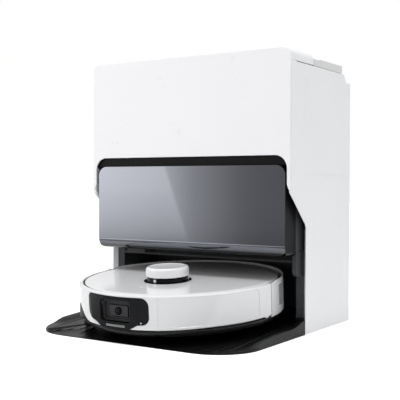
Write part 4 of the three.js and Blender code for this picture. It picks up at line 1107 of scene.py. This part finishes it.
def stage():
    """Pale floor, which glows a little where the camera sees it."""
    floor = flat("floor", -9000, 9000, -9000, 9000, -0.3)
    nodes = Nodes("pale_floor")
    nodes.feed("Base Color", nodes.ramp(nodes.noise(2), 0.93, 0.95))
    nodes.set(Roughness=0.9, Specular_IOR_Level=0.1, Emission_Color=(1, 1, 1, 1))
    nodes.feed("Emission Strength", camera_split(nodes.tree, 0.1, 0.5))
    floor.data.materials.append(nodes.material)


def aimed(name, data, place, direction):
    """A camera or lamp in its place, turned to look along a direction."""
    made = new_object(name, data)
    made.location = place
    made.rotation_mode = "QUATERNION"
    made.rotation_quaternion = direction.to_track_quat("-Z", "Y")
    return made


def camera():
    """Long lens 33 degrees to the right of the front, at half the station's height."""
    yaw, pitch, roll = (math.radians(a) for a in (33.286, 1.103, 0.162))
    forward = Vector((-math.sin(yaw) * math.cos(pitch), math.cos(yaw) * math.cos(pitch), -math.sin(pitch)))
    data = bpy.data.cameras.new("camera")
    data.sensor_width = 36
    data.lens = 74.15
    data.clip_start = 0.05
    data.clip_end = 60
    scene.camera = aimed("camera", data, (0.8055, -1.2144, 0.2497), forward)
    scene.camera.rotation_quaternion @= Matrix.Rotation(roll, 4, "Z").to_quaternion()


def area_light(name, place, target, size, power):
    data = bpy.data.lights.new(name, "AREA")
    data.shape = "RECTANGLE"
    data.size, data.size_y = size
    data.energy = power
    aimed(name, data, place, Vector(target) - Vector(place))


def world():
    """Even white surroundings, a little brighter seen directly than as a light."""
    made = bpy.data.worlds.new("studio")
    scene.world = made
    made.use_nodes = True
    background = made.node_tree.nodes["Background"]
    made.node_tree.links.new(camera_split(made.node_tree, AMBIENT, 1), background.inputs["Strength"])
    put(background, Color=(1, 1, 1, 1))
    scene.view_settings.view_transform = "Standard"


def glow_in_reflections(made, nodes, brightness):
    """A glowing material on a stage object that only reflections see."""
    made.visible_camera = made.visible_diffuse = made.visible_shadow = False
    nodes.feed("Emission Color", brightness)
    nodes.set(Base_Color=(0, 0, 0, 1), Specular_IOR_Level=0, Emission_Strength=1)
    made.data.materials.append(nodes.material)


def reflector(name, radius, start, end, low, high, across, upward):
    """Curved panel round the set, seen only in reflections.

    start and end are bearings in degrees that may change with height; across and upward list (position,
    brightness) pairs along the bearing and along the height, which are multiplied.
    """
    levels, columns = spread(low, high, 12), 40
    points = []
    for z in levels:
        points += [(*bearing(a, radius), z) for a in spread(start(z), end(z), columns)]
    nodes = Nodes(name)
    axes = nodes.axes()
    back = nodes.node("ShaderNodeMath", operation="MULTIPLY")
    back.inputs[1].default_value = -1
    nodes.link(axes["Y"], back.inputs[0])
    turn = nodes.node("ShaderNodeMath", operation="ARCTAN2")
    nodes.link(axes["X"], turn.inputs[0])
    nodes.link(back.outputs["Value"], turn.inputs[1])
    product = nodes.node("ShaderNodeMath", operation="MULTIPLY")
    sources = (turn.outputs["Value"], math.radians(1), across), (axes["Z"], MM, upward)
    for socket, (source, unit, pairs) in zip(product.inputs, sources):
        first, last = pairs[0][0], pairs[-1][0]
        stops = [((at - first) / (last - first), level) for at, level in pairs]
        nodes.link(nodes.grades(nodes.stretch_of(source, first * unit, last * unit), stops), socket)
    panel = mesh_object(name, points, grid_faces(len(levels), columns + 1))
    glow_in_reflections(panel, nodes, product.outputs["Value"])


def dark_ground():
    """Grey field in front of the ramp, darker to the right, seen only in reflections."""
    nodes = Nodes("dark_ground")
    across = nodes.stretch_of(nodes.axes()["X"], -0.7, -0.1)
    field = flat("dark_ground", -1400, 1400, -1400, -222, 1)
    glow_in_reflections(field, nodes, nodes.ramp(across, 1, 0.18, 0, 1))


def panel_edge(z):
    """Bearing of the bright panel's right edge, which leans."""
    return -36.1 + (291 - z) / 245 * 3


def lights():
    dark_ground()
    area_light("top", (0, -0.3, 2.2), (0, -0.25, 0.1), (0.9, 0.6), 22)
    area_light("left", (-2.2, -1.5, 0.9), (-0.05, -0.05, 0.1), (1.2, 1.2), 2.5)
    reflector("dim_surround", 1500, lambda z: -70, lambda z: 75, -10, 1500,
              [(-70, 0.9), (-36, 0.6), (-34, 0.46), (-32.3, 0.36), (-29, 0.253), (-26, 0.176), (-23, 0.146),
               (-20, 0.138), (40, 0.14), (75, 0.6)],
              [(-10, 0.7), (46, 0.8), (100, 0.95), (170, 1), (1500, 1)])
    reflector("bright_panel", 1480, lambda z: -80, panel_edge, -10, 1200,
              [(-80, 1), (-46, 1), (-37, 0.82), (-33, 0.8)],
              [(-10, 0.35), (46, 0.42), (69, 0.565), (102, 0.675), (136, 0.769), (169, 0.837), (202, 0.89),
               (235, 0.965), (291, 1), (1200, 1)])


camera()
dress_cad_nodes()
station_skin()
front_panel()
top_deck()
deck_gap_shade()
rear_cover()
surround()
liner()
dust_cover()
for make_tank_piece in (tank_top, tank_body):
    make_tank_piece("clean", 1)
    make_tank_piece("dirty", -1)
dust_bag()
base_plate()
bumper()
camera_window()
camera_module()
led_bar()
body_shell()
body_deck()
top_cover()
chassis_band()
turret()
side_brush()
mop_cloth()
stage()
world()
lights()
